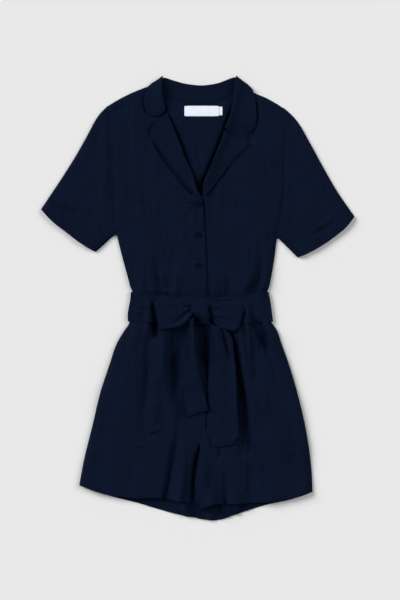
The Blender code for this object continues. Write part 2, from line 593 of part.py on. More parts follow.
def make_buttons(material):
    for number, (x, y) in enumerate(BUTTONS, start=1):
        around = np.linspace(0, 2 * np.pi, 12, endpoint=False)
        rim = x + BUTTON_RADIUS * np.cos(around), y + BUTTON_RADIUS * np.sin(around)
        seat = float(np.max(front_height(*rim) + placket_lift(*rim))) + WALL / 2 + BUTTON_SEAT
        made = bmesh.new()
        bmesh.ops.create_cone(
            made, cap_ends=True, segments=20, depth=BUTTON_THICKNESS * MM,
            radius1=BUTTON_RADIUS * MM, radius2=(BUTTON_RADIUS - BUTTON_BEVEL) * MM,
        )
        mesh = bpy.data.meshes.new(f"button_{number}")
        made.to_mesh(mesh)
        made.free()
        button = add_object(f"button_{number}", mesh, material)
        button.location = (x * MM, y * MM, (seat + BUTTON_THICKNESS / 2) * MM)


def make_label(name, sizes, material):
    plan = patch(
        along([(sizes["left"], sizes["low"]), (sizes["right"], sizes["low"])], 5),
        along([(sizes["left"], sizes["high"]), (sizes["right"], sizes["high"])], 5),
        along([(sizes["left"], sizes["low"]), (sizes["left"], sizes["high"])], 3),
        along([(sizes["right"], sizes["low"]), (sizes["right"], sizes["high"])], 3),
    )
    rise = WALL / 2 + LABEL_SEAT + LABEL_THICKNESS / 2
    sheet(name, heights(plan, lambda x, y: back_height(x, y) + rise), material, wall=LABEL_THICKNESS)


def main():
    clear_scene()
    collection = bpy.data.collections.new(COLLECTION)
    bpy.context.scene.collection.children.link(collection)
    linen = cloth_material("navy_linen", NAVY, 0.85)
    sash = cloth_material("navy_sash", NAVY, 0.85)
    shell = cloth_material("navy_button", NAVY, 0.4)
    tape = cloth_material("white_tape", WHITE, 0.7)
    make_back(linen)
    make_front_bodice(linen)
    make_sleeve("sleeve_left", ARMHOLE_LEFT, SLEEVE_LEFT, linen, mirrored=False)
    make_sleeve("sleeve_right", ARMHOLE_RIGHT, SLEEVE_RIGHT, linen, mirrored=True)
    make_shorts(linen)
    make_collar_back(linen)
    make_turned_back("collar_leaf_left", LEAF_LEFT, linen, placket_lift, 9, LEAF_EDGE_HEIGHT)
    make_turned_back("collar_leaf_right", LEAF_RIGHT, linen, no_lift, 9, LEAF_EDGE_HEIGHT)
    make_turned_back("lapel_left", LAPEL_LEFT, linen, placket_lift)
    make_turned_back("lapel_right", LAPEL_RIGHT, linen, no_lift)
    make_belt(sash)
    make_loop("bow_loop_left", LOOP_LEFT, sash, outwards=-1)
    make_loop("bow_loop_right", LOOP_RIGHT, sash, outwards=1)
    make_knot(sash)
    make_tail("belt_tail_left", TAIL_LEFT, sash)
    make_tail("belt_tail_right", TAIL_RIGHT, sash)
    make_buttons(shell)
    make_label("neck_label", LABEL, tape)
    make_label("size_tab", SIZE_TAB, tape)


main()
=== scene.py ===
# %% [markdown]
# A linen romper, laid flat and photographed from above. The part's solids arrive as a frame:
# plain walls of cloth at their real size and place. This lesson dresses that frame. Each panel
# is laid out again from the same seam lines as a fine net, gets its folds, hems and stitches,
# and takes the place of the plain solid under it.

# %% Open the frame and keep its box
import math
from collections import namedtuple

import bmesh
import bpy
import numpy as np
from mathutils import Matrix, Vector


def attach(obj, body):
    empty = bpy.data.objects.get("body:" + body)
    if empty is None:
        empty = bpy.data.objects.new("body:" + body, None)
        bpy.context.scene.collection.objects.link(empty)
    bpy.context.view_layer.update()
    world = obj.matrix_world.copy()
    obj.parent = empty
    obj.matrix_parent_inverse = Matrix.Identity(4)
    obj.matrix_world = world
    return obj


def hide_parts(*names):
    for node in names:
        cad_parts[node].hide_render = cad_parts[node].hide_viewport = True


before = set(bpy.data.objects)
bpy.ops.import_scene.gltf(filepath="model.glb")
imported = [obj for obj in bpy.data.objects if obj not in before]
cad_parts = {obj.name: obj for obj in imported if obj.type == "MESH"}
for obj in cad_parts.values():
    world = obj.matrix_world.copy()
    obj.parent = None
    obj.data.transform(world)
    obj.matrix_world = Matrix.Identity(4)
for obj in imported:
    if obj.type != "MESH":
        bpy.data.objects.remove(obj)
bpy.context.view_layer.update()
MM = 0.001
print("nodes to dress:", len(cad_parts))

# %% [markdown]
# The photograph is 400 by 600 pixels and 2 mm of the garment fill each of them, so the camera
# sees 0.8 m by 1.2 m. It looks straight down through a long lens, so that the outline keeps its
# shape. The camera is made first, and it fixes the view of everything else.

# %% Camera straight above the cloth
VIEW_HEIGHT = 600 * 2.0 * MM
VIEW_CENTRE = (4.5 * MM, -3.0 * MM)
LENS, SENSOR = 100.0, 36.0


def placed(name, data):
    """A new object in the scene."""
    made = bpy.data.objects.new(name, data)
    bpy.context.scene.collection.objects.link(made)
    return made


def make_camera():
    seen = bpy.data.cameras.new("camera")
    seen.lens = LENS
    seen.sensor_width = SENSOR
    camera = placed("camera", seen)
    camera.location = (*VIEW_CENTRE, VIEW_HEIGHT * LENS / SENSOR)
    bpy.context.scene.camera = camera
    print("camera height", round(camera.location.z, 2), "m")


make_camera()

# %% [markdown]
# Cloth panels are drawn the way a pattern maker draws them: a few points on each seam line, and a
# smooth curve through them. These helpers run a curve through a short list of points, join curves
# at corners, and spread a net of points between four edges. A few more shape a height: a soft way
# up or down, a ridge that fades away from its line, and a rounded edge.

# %% Curves through points, and nets between edges
FINE_STEPS = 40


def soft_step(t):
    t = np.clip(t, 0, 1)
    return t * t * (3 - 2 * t)


def rising(value, start, width):
    """A soft way up, from 0 at the start to 1 a width after it."""
    return soft_step((value - start) / width)


def falling(value, end, width):
    """A soft way down, from 1 a width before the end to 0 at it."""
    return soft_step((end - value) / width)


def fading(away, reach, steep=2):
    """1 on a line and less beside it. A higher power has a flatter top and steeper walls."""
    return np.exp(-((away / reach) ** steep))


def rounded(away, reach):
    """A quarter circle: 0 at an edge and 1 beyond its reach."""
    return np.sqrt(1 - (1 - np.clip(away / reach, 0, 1)) ** 2)


def through(knots, values, at):
    """A smooth curve through the values at the knots, read at the given places."""
    knots = np.asarray(knots, float)
    values = np.asarray(values, float).reshape(len(knots), -1)
    at = np.atleast_1d(np.asarray(at, float))
    slopes = np.gradient(values, knots, axis=0)
    span = np.clip(np.searchsorted(knots, at, side="right") - 1, 0, len(knots) - 2)
    width = (knots[span + 1] - knots[span])[:, None]
    t = np.clip((at - knots[span])[:, None] / width, 0, 1)
    first = values[span] * (1 + 2 * t) + slopes[span] * width * t
    last = values[span + 1] * (3 - 2 * t) - slopes[span + 1] * width * (1 - t)
    return first * (1 - t) ** 2 + last * t ** 2


def walked(points):
    """The distance along a line of points, from its start to each of them."""
    steps = np.linalg.norm(np.diff(points, axis=0), axis=1)
    return np.concatenate([[0], np.cumsum(steps)])


def along(points, cells):
    """Points evenly spaced along a smooth line through the given points."""
    points = np.asarray(points, float)
    if len(points) == 2:
        return points[0] + np.linspace(0, 1, cells + 1)[:, None] * (points[1] - points[0])
    knots = walked(points)
    fine = through(knots, points, np.linspace(0, knots[-1], FINE_STEPS * len(points)))
    way = walked(fine)
    wanted = np.linspace(0, way[-1], cells + 1)
    return np.column_stack([np.interp(wanted, way, fine[:, k]) for k in range(points.shape[1])])


def edge(*runs):
    """One edge from (line, cells) runs that meet at corners."""
    parts = [along(line, cells) for line, cells in runs]
    return np.concatenate([parts[0]] + [part[1:] for part in parts[1:]])


def patch(bottom, top, left, right):
    """The plan points of a panel between four edges, as rows from the bottom to the top."""
    u = np.linspace(0, 1, len(bottom))[None, :, None]
    v = np.linspace(0, 1, len(left))[:, None, None]
    across = (1 - v) * bottom[None] + v * top[None]
    up = (1 - u) * left[:, None] + u * right[:, None]
    corners = (1 - v) * ((1 - u) * bottom[0] + u * bottom[-1]) + v * ((1 - u) * top[0] + u * top[-1])
    return across + up - corners


def nearest(x, y, line):
    """The distance from each place to a line, and how far along it the nearest point is."""
    line = np.asarray(line, float)
    x, y = np.asarray(x, float), np.asarray(y, float)
    starts = walked(line)
    best, share = np.full(x.shape, np.inf), np.zeros(x.shape)
    for start, end, before, after in zip(line[:-1], line[1:], starts[:-1], starts[1:]):
        step = after - before
        way = (end - start) / step
        t = np.clip((x - start[0]) * way[0] + (y - start[1]) * way[1], 0, step)
        away = np.hypot(x - start[0] - t * way[0], y - start[1] - t * way[1])
        closer = away < best
        best = np.where(closer, away, best)
        share = np.where(closer, (before + t) / starts[-1], share)
    return best, share


def distance(x, y, *lines):
    return np.min([nearest(x, y, line)[0] for line in lines], axis=0)


def beside(line, offset):
    """A line moved sideways, to its left as it runs."""
    way = np.gradient(line, axis=0)
    way /= np.linalg.norm(way, axis=1)[:, None]
    return line + offset * np.column_stack([-way[:, 1], way[:, 0]])


print("a smooth line of 4 points:", np.round(along([(0, 0), (10, 4), (20, 0)], 3), 1).tolist())

# %% [markdown]
# Cloth is never quite flat. A lattice of random heights with smooth ways between them gives slow
# swells; folding such a field at zero gives the thin, meeting creases of linen that was ironed and
# then handled. Every field has its own fixed seed, so each run makes the same garment.

# %% Random swells and creases
LATTICE = 256
LATTICE_X, LATTICE_Y = 91.7, 57.3
BEND, BEND_SIZE = 0.7, 1.7
CREASE_SHARPNESS = 3.2
Noise = namedtuple("Noise", "kind strength scale_x scale_y size seed")


def swell(x, y, size, seed):
    """A smooth random field between -1 and 1, whose bumps are about the given size across."""
    lattice = np.random.default_rng(seed).uniform(-1, 1, (LATTICE, LATTICE))
    across, up = np.asarray(x, float) / size + LATTICE_X, np.asarray(y, float) / size + LATTICE_Y
    column, row = np.floor(across).astype(int), np.floor(up).astype(int)
    a, b = soft_step(across - column), soft_step(up - row)

    def mixed(line):
        start = lattice[line % LATTICE, column % LATTICE]
        return start * (1 - a) + lattice[line % LATTICE, (column + 1) % LATTICE] * a

    return mixed(row) * (1 - b) + mixed(row + 1) * b


def creases(x, y, size, seed):
    """Thin ridges that wander and meet, from 0 to 1."""
    bent_x = x + size * BEND * swell(x, y, size * BEND_SIZE, seed + 1)
    bent_y = y + size * BEND * swell(x, y, size * BEND_SIZE, seed + 2)
    return np.clip(1 - np.abs(swell(bent_x, bent_y, size, seed)) * CREASE_SHARPNESS, 0, 1) ** 2


def noisy(x, y, *table):
    """Several random fields added up."""
    return sum(
        row.strength * row.kind(x * row.scale_x, y * row.scale_y, row.size, row.seed) for row in table
    )


# %% [markdown]
# The seam lines are in millimetres from the middle of the garment, as in the part. Left and right
# are as seen from above. They run from the waist up to the neck, and from the waist down to the hem.

# %% Seam lines of the bodice
WAIST_SEAM_Y = -15.0
SIDE_LEFT = [(-127, -14.7), (-128, 8), (-134, 22), (-138, 37), (-144.6, 61), (-151, 85), (-162, 129)]
SIDE_RIGHT = [(136, -14.7), (136.5, 8), (142, 22), (147, 45), (151, 69), (155, 97), (158, 123)]
ARMHOLE_LEFT = [
    (-162, 129), (-166, 141), (-169, 189), (-168, 237), (-168, 267), (-173, 303), (-175.4, 348),
    (-178.4, 385),
]
ARMHOLE_RIGHT = [(158, 123), (161, 137), (167.6, 177), (173, 225), (172.4, 273), (173.6, 337), (170, 381)]
SHOULDER_LEFT = [(-178.4, 385), (-158.6, 397), (-135, 409), (-113, 418), (-95, 425), (-76, 432)]
SHOULDER_RIGHT = [(170, 381), (152, 392), (133, 402), (120, 407), (100, 418), (82, 431)]
BACK_NECK = [
    (-76, 432), (-68, 417), (-52, 402), (-26, 391), (6, 387), (38, 391), (62, 402), (75, 416), (82, 431),
]
FRONT_EDGE_LEFT = [(19, -14.7), (17.5, 40), (15, 110), (10.5, 178), (8, 199)]
ROLL_LEFT = [
    (8, 199), (2, 209), (-3, 219), (-9, 243), (-27, 284), (-45, 332), (-66, 375), (-71.5, 405), (-76, 432),
]
FRONT_EDGE_RIGHT = [(-14, -14.7), (-13, 100), (-10, 175), (-8, 190)]
ROLL_RIGHT = [
    (-8, 190), (4, 206), (11, 228), (25, 261), (41, 300), (57, 343), (71.5, 386), (77, 407), (82, 431),
]
SIDE_LENGTH, ARMHOLE_LENGTH = 150, 258

# %% Seam lines of the sleeves
SLEEVE_LEFT = {
    "outer": [
        (-179.5, 385), (-196, 368), (-206, 353), (-214.4, 337), (-241, 289), (-271, 241), (-303, 193),
        (-313, 178),
    ],
    "cuff": [(-313, 178), (-294, 157), (-264, 133), (-232, 109), (-212, 97), (-204, 93.5)],
    "underarm": [(-163, 128.4), (-174, 120.5), (-186.4, 109), (-204, 93.5)],
}
SLEEVE_RIGHT = {
    "outer": [
        (171, 381), (180.4, 373), (192.6, 361), (201.8, 349), (222.6, 313), (248.8, 265), (276.4, 217),
        (313, 163.5),
    ],
    "cuff": [(313, 163.5), (299, 145), (270.8, 121), (233.8, 97), (209, 85), (200, 82)],
    "underarm": [(159, 122.4), (173, 109), (185, 97), (200, 82)],
}

# %% Seam lines of the shorts
OUTSEAM_LEFT = [
    (-131, -15.3), (-134, -40), (-138, -52), (-146, -64), (-160, -87), (-177, -135), (-193, -183),
    (-210.4, -255), (-228, -327), (-236.5, -373),
]
OUTSEAM_RIGHT = [
    (141, -15.3), (144, -42), (150, -52), (158, -64), (166, -87), (183, -135), (203.6, -207), (219, -279),
    (227.6, -351), (229, -386),
]
CENTRE_FRONT = [(17, -15.3), (16, -120), (10, -230), (4, -290)]
FRONT_INSEAM_LEFT = [(3, -293), (-5, -312), (-12.5, -353), (-14.5, -383), (-15, -407)]
FRONT_INSEAM_RIGHT = [(5, -297), (1, -323), (-3.5, -353), (-5.5, -383), (-3, -406), (1, -422)]
FRONT_HEM_LEFT = [(-236.5, -373), (-187, -390), (-122, -399), (-68, -399), (-39, -403), (-15, -407)]
FRONT_HEM_RIGHT = [(1, -422), (12, -417), (24, -411), (63, -410), (143, -406.5), (194, -398), (229, -386)]
CENTRE_BACK = [(10, -15.3), (9, -150), (4, -290)]
BACK_INSEAM = [(4, -293), (-7, -380), (4, -440)]
BACK_HEM_LEFT = [(-236.5, -373), (-187, -391), (-111, -411), (-57, -427), (4, -440)]
BACK_HEM_RIGHT = [(4, -440), (38, -443), (78, -431), (127, -415), (195, -399), (229, -386)]
CENTRE_LENGTH, FRONT_LEG_LENGTH, BACK_LEG_LENGTH = 276, 118, 150

# %% [markdown]
# Every panel takes its height from one shared field, so that what lies on a panel can follow it.
# The back lies on the table, lifted a little over the sash and over the fall of the collar. The
# front stands off the back by a table of rises, and rounds down to nothing at the outline.

# %% Heights of the back and the plain front
WALL = 1.2
CLOTH = 0.9
FLOOR_CLOTH = WALL / 2
BELT_LIFT = WALL + 0.3
COLLAR_LIFT = 2.4
PLACKET_LIFT = 2.2
FRONT_GAP = 0.5
BELT_START, BELT_WIDTH, BELT_DIP = -140, 290, 12.0
Rise = namedtuple("Rise", "y height")
FRONT_RISE = [
    Rise(-430, 8), Rise(-390, 9), Rise(-300, 11), Rise(-200, 12.5), Rise(-120, 12.5), Rise(-80, 11),
    Rise(-64, 9), Rise(-56, 8.2), Rise(-50.5, 7.4), Rise(-47, 5.6), Rise(-43, 3.6), Rise(-36, 3),
    Rise(-15, 3), Rise(0, 3.8), Rise(8, 5.2), Rise(14, 6.6), Rise(24, 7.3), Rise(36, 7.6), Rise(70, 7),
    Rise(150, 6), Rise(250, 5.5), Rise(330, 5), Rise(400, 3), Rise(440, 1),
]
OUTLINE_LINES = [along(line, 24) for line in (
    SIDE_LEFT, SIDE_RIGHT, SHOULDER_LEFT, SHOULDER_RIGHT, OUTSEAM_LEFT, OUTSEAM_RIGHT,
)]
ARMHOLE_LINES = [along(ARMHOLE_LEFT, 24), along(ARMHOLE_RIGHT, 24)]
LEG_LINES = [along(FRONT_INSEAM_LEFT, 10), along(FRONT_INSEAM_RIGHT, 10)]
ROLL_LINES = [along(ROLL_LEFT, 16), along(ROLL_RIGHT, 16)]
EDGE_REACH = 20.0
ARMHOLE_SHARE, ARMHOLE_REACH = 0.62, 16.0
LEG_SHARE, LEG_REACH = 0.25, 7.0
ROLL_RISE, ROLL_REACH = 3.5, 14.0


def back_height(x, y):
    over_belt = rising(y, -96, 38) * falling(y, 66, 38)
    over_collar = rising(y, 310, 56) * falling(np.abs(x - 4), 156, 36)
    return FLOOR_CLOTH + BELT_LIFT * over_belt + COLLAR_LIFT * over_collar


def belt_sag(x):
    return BELT_DIP * np.sin(np.pi * np.clip((x - BELT_START) / BELT_WIDTH, 0, 1))


def partly(share, away, reach):
    """A quarter circle that starts from a share instead of from 0."""
    return share + (1 - share) * rounded(away, reach)


def plain_rise(x, y):
    under = y + belt_sag(x) * falling(y, -16, 30) * rising(y, -130, 60)
    table = through([row.y for row in FRONT_RISE], [row.height for row in FRONT_RISE], np.ravel(under))
    rise = table[:, 0].reshape(np.shape(y)) * rounded(distance(x, y, *OUTLINE_LINES), EDGE_REACH)
    armhole = partly(ARMHOLE_SHARE, distance(x, y, *ARMHOLE_LINES), ARMHOLE_REACH)
    legs = partly(LEG_SHARE, distance(x, y, *LEG_LINES), LEG_REACH)
    roll = ROLL_RISE * fading(distance(x, y, *ROLL_LINES), ROLL_REACH) * rising(y, 150, 80)
    return rise * armhole * legs + roll


# %% [markdown]
# Real folds are neither straight nor alike. Each row below is one fold that the photograph shows:
# the line that it follows from above, half its width at the start and the end, its height at the
# start, middle and end (below zero for a valley), and how steep its walls are. A steep valley turns
# nearly black under soft light, which is how the deep pleat beside the sash reads.

# %% The folds of the front
Fold = namedtuple("Fold", "name line half_widths heights steep", defaults=(2,))
FOLD_ROOM = 4.0
SOFT_FLOOR = 0.3
SHORTS_FOLDS = [
    Fold(
        "deep pleat", [(64, -60), (68, -103), (75, -143), (81, -175), (86, -205), (90, -243), (97, -300)],
        (6, 15), (-13, -25, -6), 4,
    ),
    Fold(
        "lip of the deep pleat", [(84, -64), (90, -108), (100, -150), (109, -195), (113, -240)],
        (6, 12), (4, 6.5, 3),
    ),
    Fold("thin ridge", [(100, -52), (103.5, -90), (106, -135)], (3.5, 4), (3, 3, 0.5)),
    Fold("crease beside it", [(108, -60), (112, -100), (115, -150)], (4, 5), (-2, -3, -0.5)),
    Fold("broad right swell", [(118, -130), (128, -190), (140, -250)], (16, 20), (1, 4, 0.5)),
    Fold(
        "right hip valley", [(108, -44), (118, -53), (127, -66), (134, -88), (142, -112)],
        (10, 7), (-20, -22, -3), 3,
    ),
    Fold("puff left of it", [(97, -46), (108, -66), (119, -98)], (7, 5), (11, 11, 2)),
    Fold("puff right of it", [(132, -50), (140, -66), (146, -88)], (6, 7), (5, 5, 2)),
    Fold("small crease below it", [(146, -118), (150, -136), (156, -158)], (4, 4), (-2.5, -3.5, -1)),
    Fold("short crease", [(114, -140), (115, -160)], (3.5, 3.5), (-1, -3, -1)),
    Fold("right hip ridge", [(138, -56), (150, -86), (162, -130)], (8, 10), (1, 3, 0.5)),
    Fold(
        "hollow between the tails", [(8, -60), (10, -95), (14, -130), (17, -160)],
        (13, 6), (-6, -7, -1), 4,
    ),
    Fold(
        "pleat between the tails", [(20.5, -60), (20.5, -95), (20.5, -130), (20, -160)],
        (6, 3), (-9, -11, -2), 4,
    ),
    Fold("seam between the tails", [(20, -150), (19, -200), (18, -262)], (2.4, 2.2), (-3, -4, -2)),
    Fold(
        "hollow left of the tails", [(-30, -56), (-36, -90), (-38, -130), (-38, -180), (-36, -214)],
        (19, 16), (-9, -13, -2), 3,
    ),
    Fold("ridge left of the hollow", [(-69, -66), (-68, -115), (-66, -180)], (8, 10), (4, 7, 2)),
    Fold("shadow under the left loop", [(-89, -48), (-85, -64), (-83, -84)], (7, 7), (-12, -14, -2), 3),
    Fold("hole under the left loop", [(-40, -54), (-30, -60), (-22, -68)], (6, 6), (-6, -11, -4), 3),
    Fold("swell left of that shadow", [(-100, -40), (-99, -58), (-99, -84)], (7, 8), (9, 7, 0)),
    Fold("short crease under the bow", [(-52, -60), (-52, -96)], (3, 3), (-3, -4, -1)),
    Fold(
        "left hip valley", [(-97, -84), (-98, -110), (-100, -165), (-108, -230), (-112, -262)],
        (8, 10), (-4, -7, -1),
    ),
    Fold("left pleat ridge", [(-80, -58), (-82, -110), (-84, -180), (-88, -245)], (9, 12), (2, 4, 0.5)),
    Fold(
        "left outer ridge", [(-124, -60), (-134, -110), (-148, -190), (-158, -280)],
        (12, 18), (2, 3, 0.5),
    ),
    Fold("left outer crease", [(-138, -66), (-146, -100), (-156, -150)], (5, 8), (-2, -2, -0.5)),
    Fold(
        "left inner leg valley",
        [(-36, -238), (-40, -280), (-48, -310), (-53, -335), (-58, -365), (-65, -400)],
        (8, 6), (-2, -8, -10), 3,
    ),
    Fold(
        "left inner leg ridge", [(-24, -240), (-26, -290), (-30, -340), (-34, -372), (-38, -404)],
        (8, 11), (1, 5, 15),
    ),
    Fold("right inner leg ridge", [(12, -292), (10, -330), (10, -370), (14, -410)], (8, 11), (3, 5, 5)),
    Fold("right leg crease", [(42, -300), (43, -310), (43, -322)], (3.5, 3.5), (-2, -4.5, -1)),
    Fold("right leg ray", [(54, -300), (60, -318), (67, -338)], (3, 3), (1, 2, 0.5)),
    Fold("right leg step", [(54, -352), (54, -380), (54, -412)], (5, 5), (-1.5, -5, -9)),
    Fold("arch over the back hem", [(28, -376), (28, -396), (28, -414)], (9, 13), (1, 10, 18)),
    Fold("dip at the inner corner", [(8, -392), (4, -408), (2, -422)], (4, 5), (-1, -5, -8)),
    Fold("lift right of the step", [(74, -384), (78, -400), (80, -412)], (12, 14), (0.5, 2.5, 4)),
    Fold("right leg ridge", [(66, -330), (72, -365), (76, -408)], (12, 12), (1, 3.5, 4)),
    Fold("foot of the deep pleat", [(98, -262), (101, -285), (105, -306)], (4, 4), (-2, -5, -1)),
    Fold("right leg lower valley", [(106, -306), (107, -345), (106, -408)], (10, 12), (-2.5, -4, -2.5)),
    Fold("right outer ridge", [(146, -250), (160, -300), (166, -372)], (16, 20), (1, 3, 2)),
    Fold("right outer valley", [(180, -210), (194, -280), (200, -370)], (10, 12), (-1, -3, -2)),
    Fold("left outer valley", [(-172, -190), (-190, -260), (-200, -350)], (10, 13), (-1, -3, -1.5)),
    Fold("left lower swell", [(-150, -290), (-158, -340), (-160, -390)], (18, 22), (1, 2.5, 2)),
    Fold("left pocket corner", [(-100, -271), (-90, -272), (-84, -266)], (3, 3), (-1, -2.5, -1)),
    Fold("left pocket ripple", [(-94, -262), (-84, -264), (-76, -258)], (4, 4), (1, 2.4, 1)),
    Fold("left pocket ripple below", [(-96, -283), (-86, -285), (-76, -281)], (4, 4), (1, 2, 1)),
    Fold("left pocket dash", [(-123, -291), (-114, -293), (-106, -292)], (2.6, 2.6), (1, 2.4, 1)),
    Fold(
        "right pocket crease", [(126, -299), (160, -305), (196, -306), (222, -298)],
        (3.5, 3.5), (0.3, 0.8, 0.4),
    ),
    Fold("left thigh swell", [(-94, -206), (-84, -212), (-78, -208)], (7, 7), (1, 2, 1)),
    Fold("left hem swell", [(-120, -352), (-124, -396)], (12, 14), (0.5, 2, 3.5)),
    Fold("left hem dip", [(-150, -352), (-152, -392)], (10, 12), (-0.5, -1.5, -2)),
    Fold("right hem swell", [(142, -356), (144, -402)], (12, 14), (0.5, 2, 2.5)),
    Fold("right hem dip", [(116, -360), (118, -404)], (8, 10), (-0.5, -1.5, -2)),
]
BODICE_FOLDS = [
    Fold(
        "right blouson fold", [(121, 112), (125, 88), (127, 64), (122, 38), (108, 12)],
        (6, 8), (-1.5, -5, -16),
    ),
    Fold("cloth over it", [(136, 96), (138, 60), (130, 24)], (7, 8), (1, 4, 4)),
    Fold("cloth beside it", [(110, 96), (110, 62), (98, 28)], (6, 7), (0.5, 2, 5)),
    Fold("left blouson valley", [(-85, 76), (-81, 50), (-77, 24), (-73, 2)], (5, 6), (-3, -8, -8)),
    Fold("left blouson hollow", [(-62, 58), (-60, 30), (-58, 2)], (8, 9), (-1, -6, -7)),
    Fold("left blouson ridge", [(-44.5, 60), (-44, 30), (-44.5, 4)], (4, 5), (1, 3.4, 3.4)),
    Fold("hollow beside the placket", [(-24, 56), (-22, 6)], (9, 9), (-1, -3.4, -3.4)),
    Fold("fold over the belt on the left", [(-96, 20), (-70, 14), (-40, 16)], (6, 6), (1, 3, 1)),
    Fold("left waist swell", [(-112, 64), (-108, 16)], (14, 16), (0, 2.5, 2)),
    Fold("right waist hollow", [(62, 52), (66, 4)], (10, 12), (-1, -5, -4.5)),
    Fold("right waist swell", [(40, 60), (38, 8)], (9, 9), (0.5, 2.2, 2)),
    Fold("right waist ridge", [(92, 60), (90, 12)], (9, 9), (0.5, 2.4, 2)),
    Fold("crease by the left lapel", [(-79, 268), (-75, 254), (-71, 236)], (5, 5), (-0.5, -2.4, -0.5)),
    Fold("left chest crease", [(-57, 232), (-54, 210)], (4, 4), (0.3, 1.6, 0.3)),
    Fold("pucker at the first button", [(-21, 200), (-14, 182), (-10, 163)], (3, 3), (-0.8, -2.6, -1.6)),
    Fold("dash left of the first button", [(-22, 188), (-14, 189), (-7, 186)], (2.4, 2.4), (-1, -3, -1.4)),
    Fold("dash below it", [(-16, 176), (-9, 178), (-3, 175)], (2.2, 2.2), (-1, -2.6, -1)),
    Fold("swell right of the placket", [(14, 196), (20, 184), (22, 168)], (4, 5), (1, 3, 1)),
    Fold("pucker beside it", [(-9, 196), (-5, 180), (-2, 162)], (2.4, 2.4), (-0.6, -1.6, -1.4)),
    Fold("pucker below it", [(-18, 166), (-10, 160), (-3, 166)], (2.6, 2.6), (-1, -2, -1)),
    Fold(
        "pull to the last button", [(-22, 87), (-14, 84), (-7, 77), (1, 76), (11, 78)],
        (2.4, 2.4), (-1.2, -2.4, -1.4),
    ),
    Fold("left dash below it", [(-24, 57), (-18, 56), (-13, 57)], (2.2, 2.2), (-0.6, -1.5, -0.6)),
    Fold("right dash below it", [(2, 57), (6, 56), (11, 57)], (2.2, 2.2), (-0.6, -1.5, -0.6)),
    Fold("dash above it", [(2, 98), (6, 97), (11, 97)], (2.2, 2.2), (-0.6, -1.8, -0.8)),
    Fold("left shoulder drop", [(-172, 366), (-146, 384), (-112, 396)], (8, 8), (-2, -2.4, -0.8)),
    Fold("right shoulder drop", [(124, 378), (146, 371), (168, 358)], (8, 8), (-0.8, -2.4, -2)),
    Fold("right armhole swell", [(150, 190), (152, 250), (150, 320)], (12, 12), (0.5, 1.6, 0.5)),
    Fold("left armhole swell", [(-150, 170), (-150, 240), (-152, 310)], (12, 12), (0.8, 1.8, 0.5)),
    Fold("right armhole dash", [(132, 188), (133, 166)], (3, 3), (-0.6, -2, -0.6)),
    Fold("shadow fold below the right leaf", [(111, 344), (108, 322), (103, 302)], (6.5, 7), (-3, -5, -1)),
    Fold(
        "left armhole trough in front", [(-177, 345), (-171, 285), (-169, 215), (-166, 150)],
        (5, 6), (-0.6, -2, -2),
    ),
    Fold(
        "right armhole trough in front", [(173.5, 340), (173, 280), (172, 205), (163, 150)],
        (5, 5), (-1, -1.6, -0.5),
    ),
    Fold(
        "ditch under the left lapel", [(-9, 209), (-25, 226), (-41, 246), (-65, 278), (-88, 312)],
        (4, 4), (-9, -12, -2), 3,
    ),
    Fold("ditch at the left notch", [(-93, 318), (-95, 334), (-88, 346)], (3.5, 3.5), (-2, -3.4, -2)),
    Fold("ditch by the left leaf", [(-105, 420), (-109, 398), (-103, 371)], (3.5, 3.5), (-1.5, -2.6, -2)),
    Fold(
        "ditch under the right lapel", [(17, 207), (33, 226), (51, 248), (69, 269)],
        (4, 3), (-3.2, -3.6, -0.5),
    ),
    Fold("ditch by the right leaf", [(113, 394), (118, 374), (118, 350)], (4, 4.5), (-2.4, -4, -2.4)),
    Fold("left side crease", [(-138, 160), (-134, 125), (-132, 92)], (6, 7), (-0.5, -2, -0.5)),
    Fold("right side crease", [(146, 160), (143, 125), (140, 96)], (7, 8), (-0.5, -1.8, -0.5)),
]
FRONT_FOLDS = SHORTS_FOLDS + BODICE_FOLDS
FOLD_LINES = {}
SASH_LOW, SASH_HIGH = -52, 12
FAN_CLOSING, FAN_LENGTH = 0.0016, 200
CRUMPLE = [
    Noise(swell, 1.0, 1, 0.13, 13, 25), Noise(swell, 0.55, 1, 0.2, 6.5, 26),
    Noise(swell, 0.6, 1, 0.6, 34, 21), Noise(swell, 0.4, 1, 1, 17, 22),
    Noise(creases, 0.45, 1, 1, 38, 23), Noise(creases, 0.25, 1, 1, 17, 24),
]


def fold_height(x, y, fold):
    """The height of one fold: its table's values along its line, fading away on both sides."""
    if fold.name not in FOLD_LINES:
        FOLD_LINES[fold.name] = along(fold.line, 12)
    away, share = nearest(x, y, FOLD_LINES[fold.name])
    strength = through([0, 0.5, 1], fold.heights, np.ravel(share))[:, 0].reshape(np.shape(x))
    half_width = fold.half_widths[0] + (fold.half_widths[1] - fold.half_widths[0]) * share
    return strength * fading(away, half_width, fold.steep)


def relief(x, y, folds):
    return sum(fold_height(x, y, fold) for fold in folds)


def gathers(x, y):
    """Small tucks where the waist seam draws the cloth in, under and over the sash."""
    below, above = np.clip(SASH_LOW - y, 0, None), np.clip(y - SASH_HIGH, 0, None)
    strength = 1.7 * np.exp(-below / 42) * (y < -30) + 0.75 * np.exp(-above / 26) * (y > -10)
    fan = x * (1 - FAN_CLOSING * np.minimum(below, FAN_LENGTH))
    return (swell(fan, 0 * y + 40, 8.5, 11) + 0.5 * swell(fan, 0 * y + 12, 4.6, 12)) * strength


def front_height(x, y, valleys=True, fine=True):
    """The middle of the front's wall. Without the valleys, it is what a piece lying on it follows."""
    rise = plain_rise(x, y)
    room = np.clip(rise / FOLD_ROOM, 0, 1)
    for fold in FRONT_FOLDS:
        height = fold_height(x, y, fold) * room
        rise = rise + (height if valleys else np.maximum(height, 0))
    if fine:
        rise = rise + (gathers(x, y) + noisy(x, y, *CRUMPLE)) * room
    rise = (rise + np.sqrt(rise ** 2 + SOFT_FLOOR)) / 2
    return back_height(x, y) + WALL + FRONT_GAP + rise


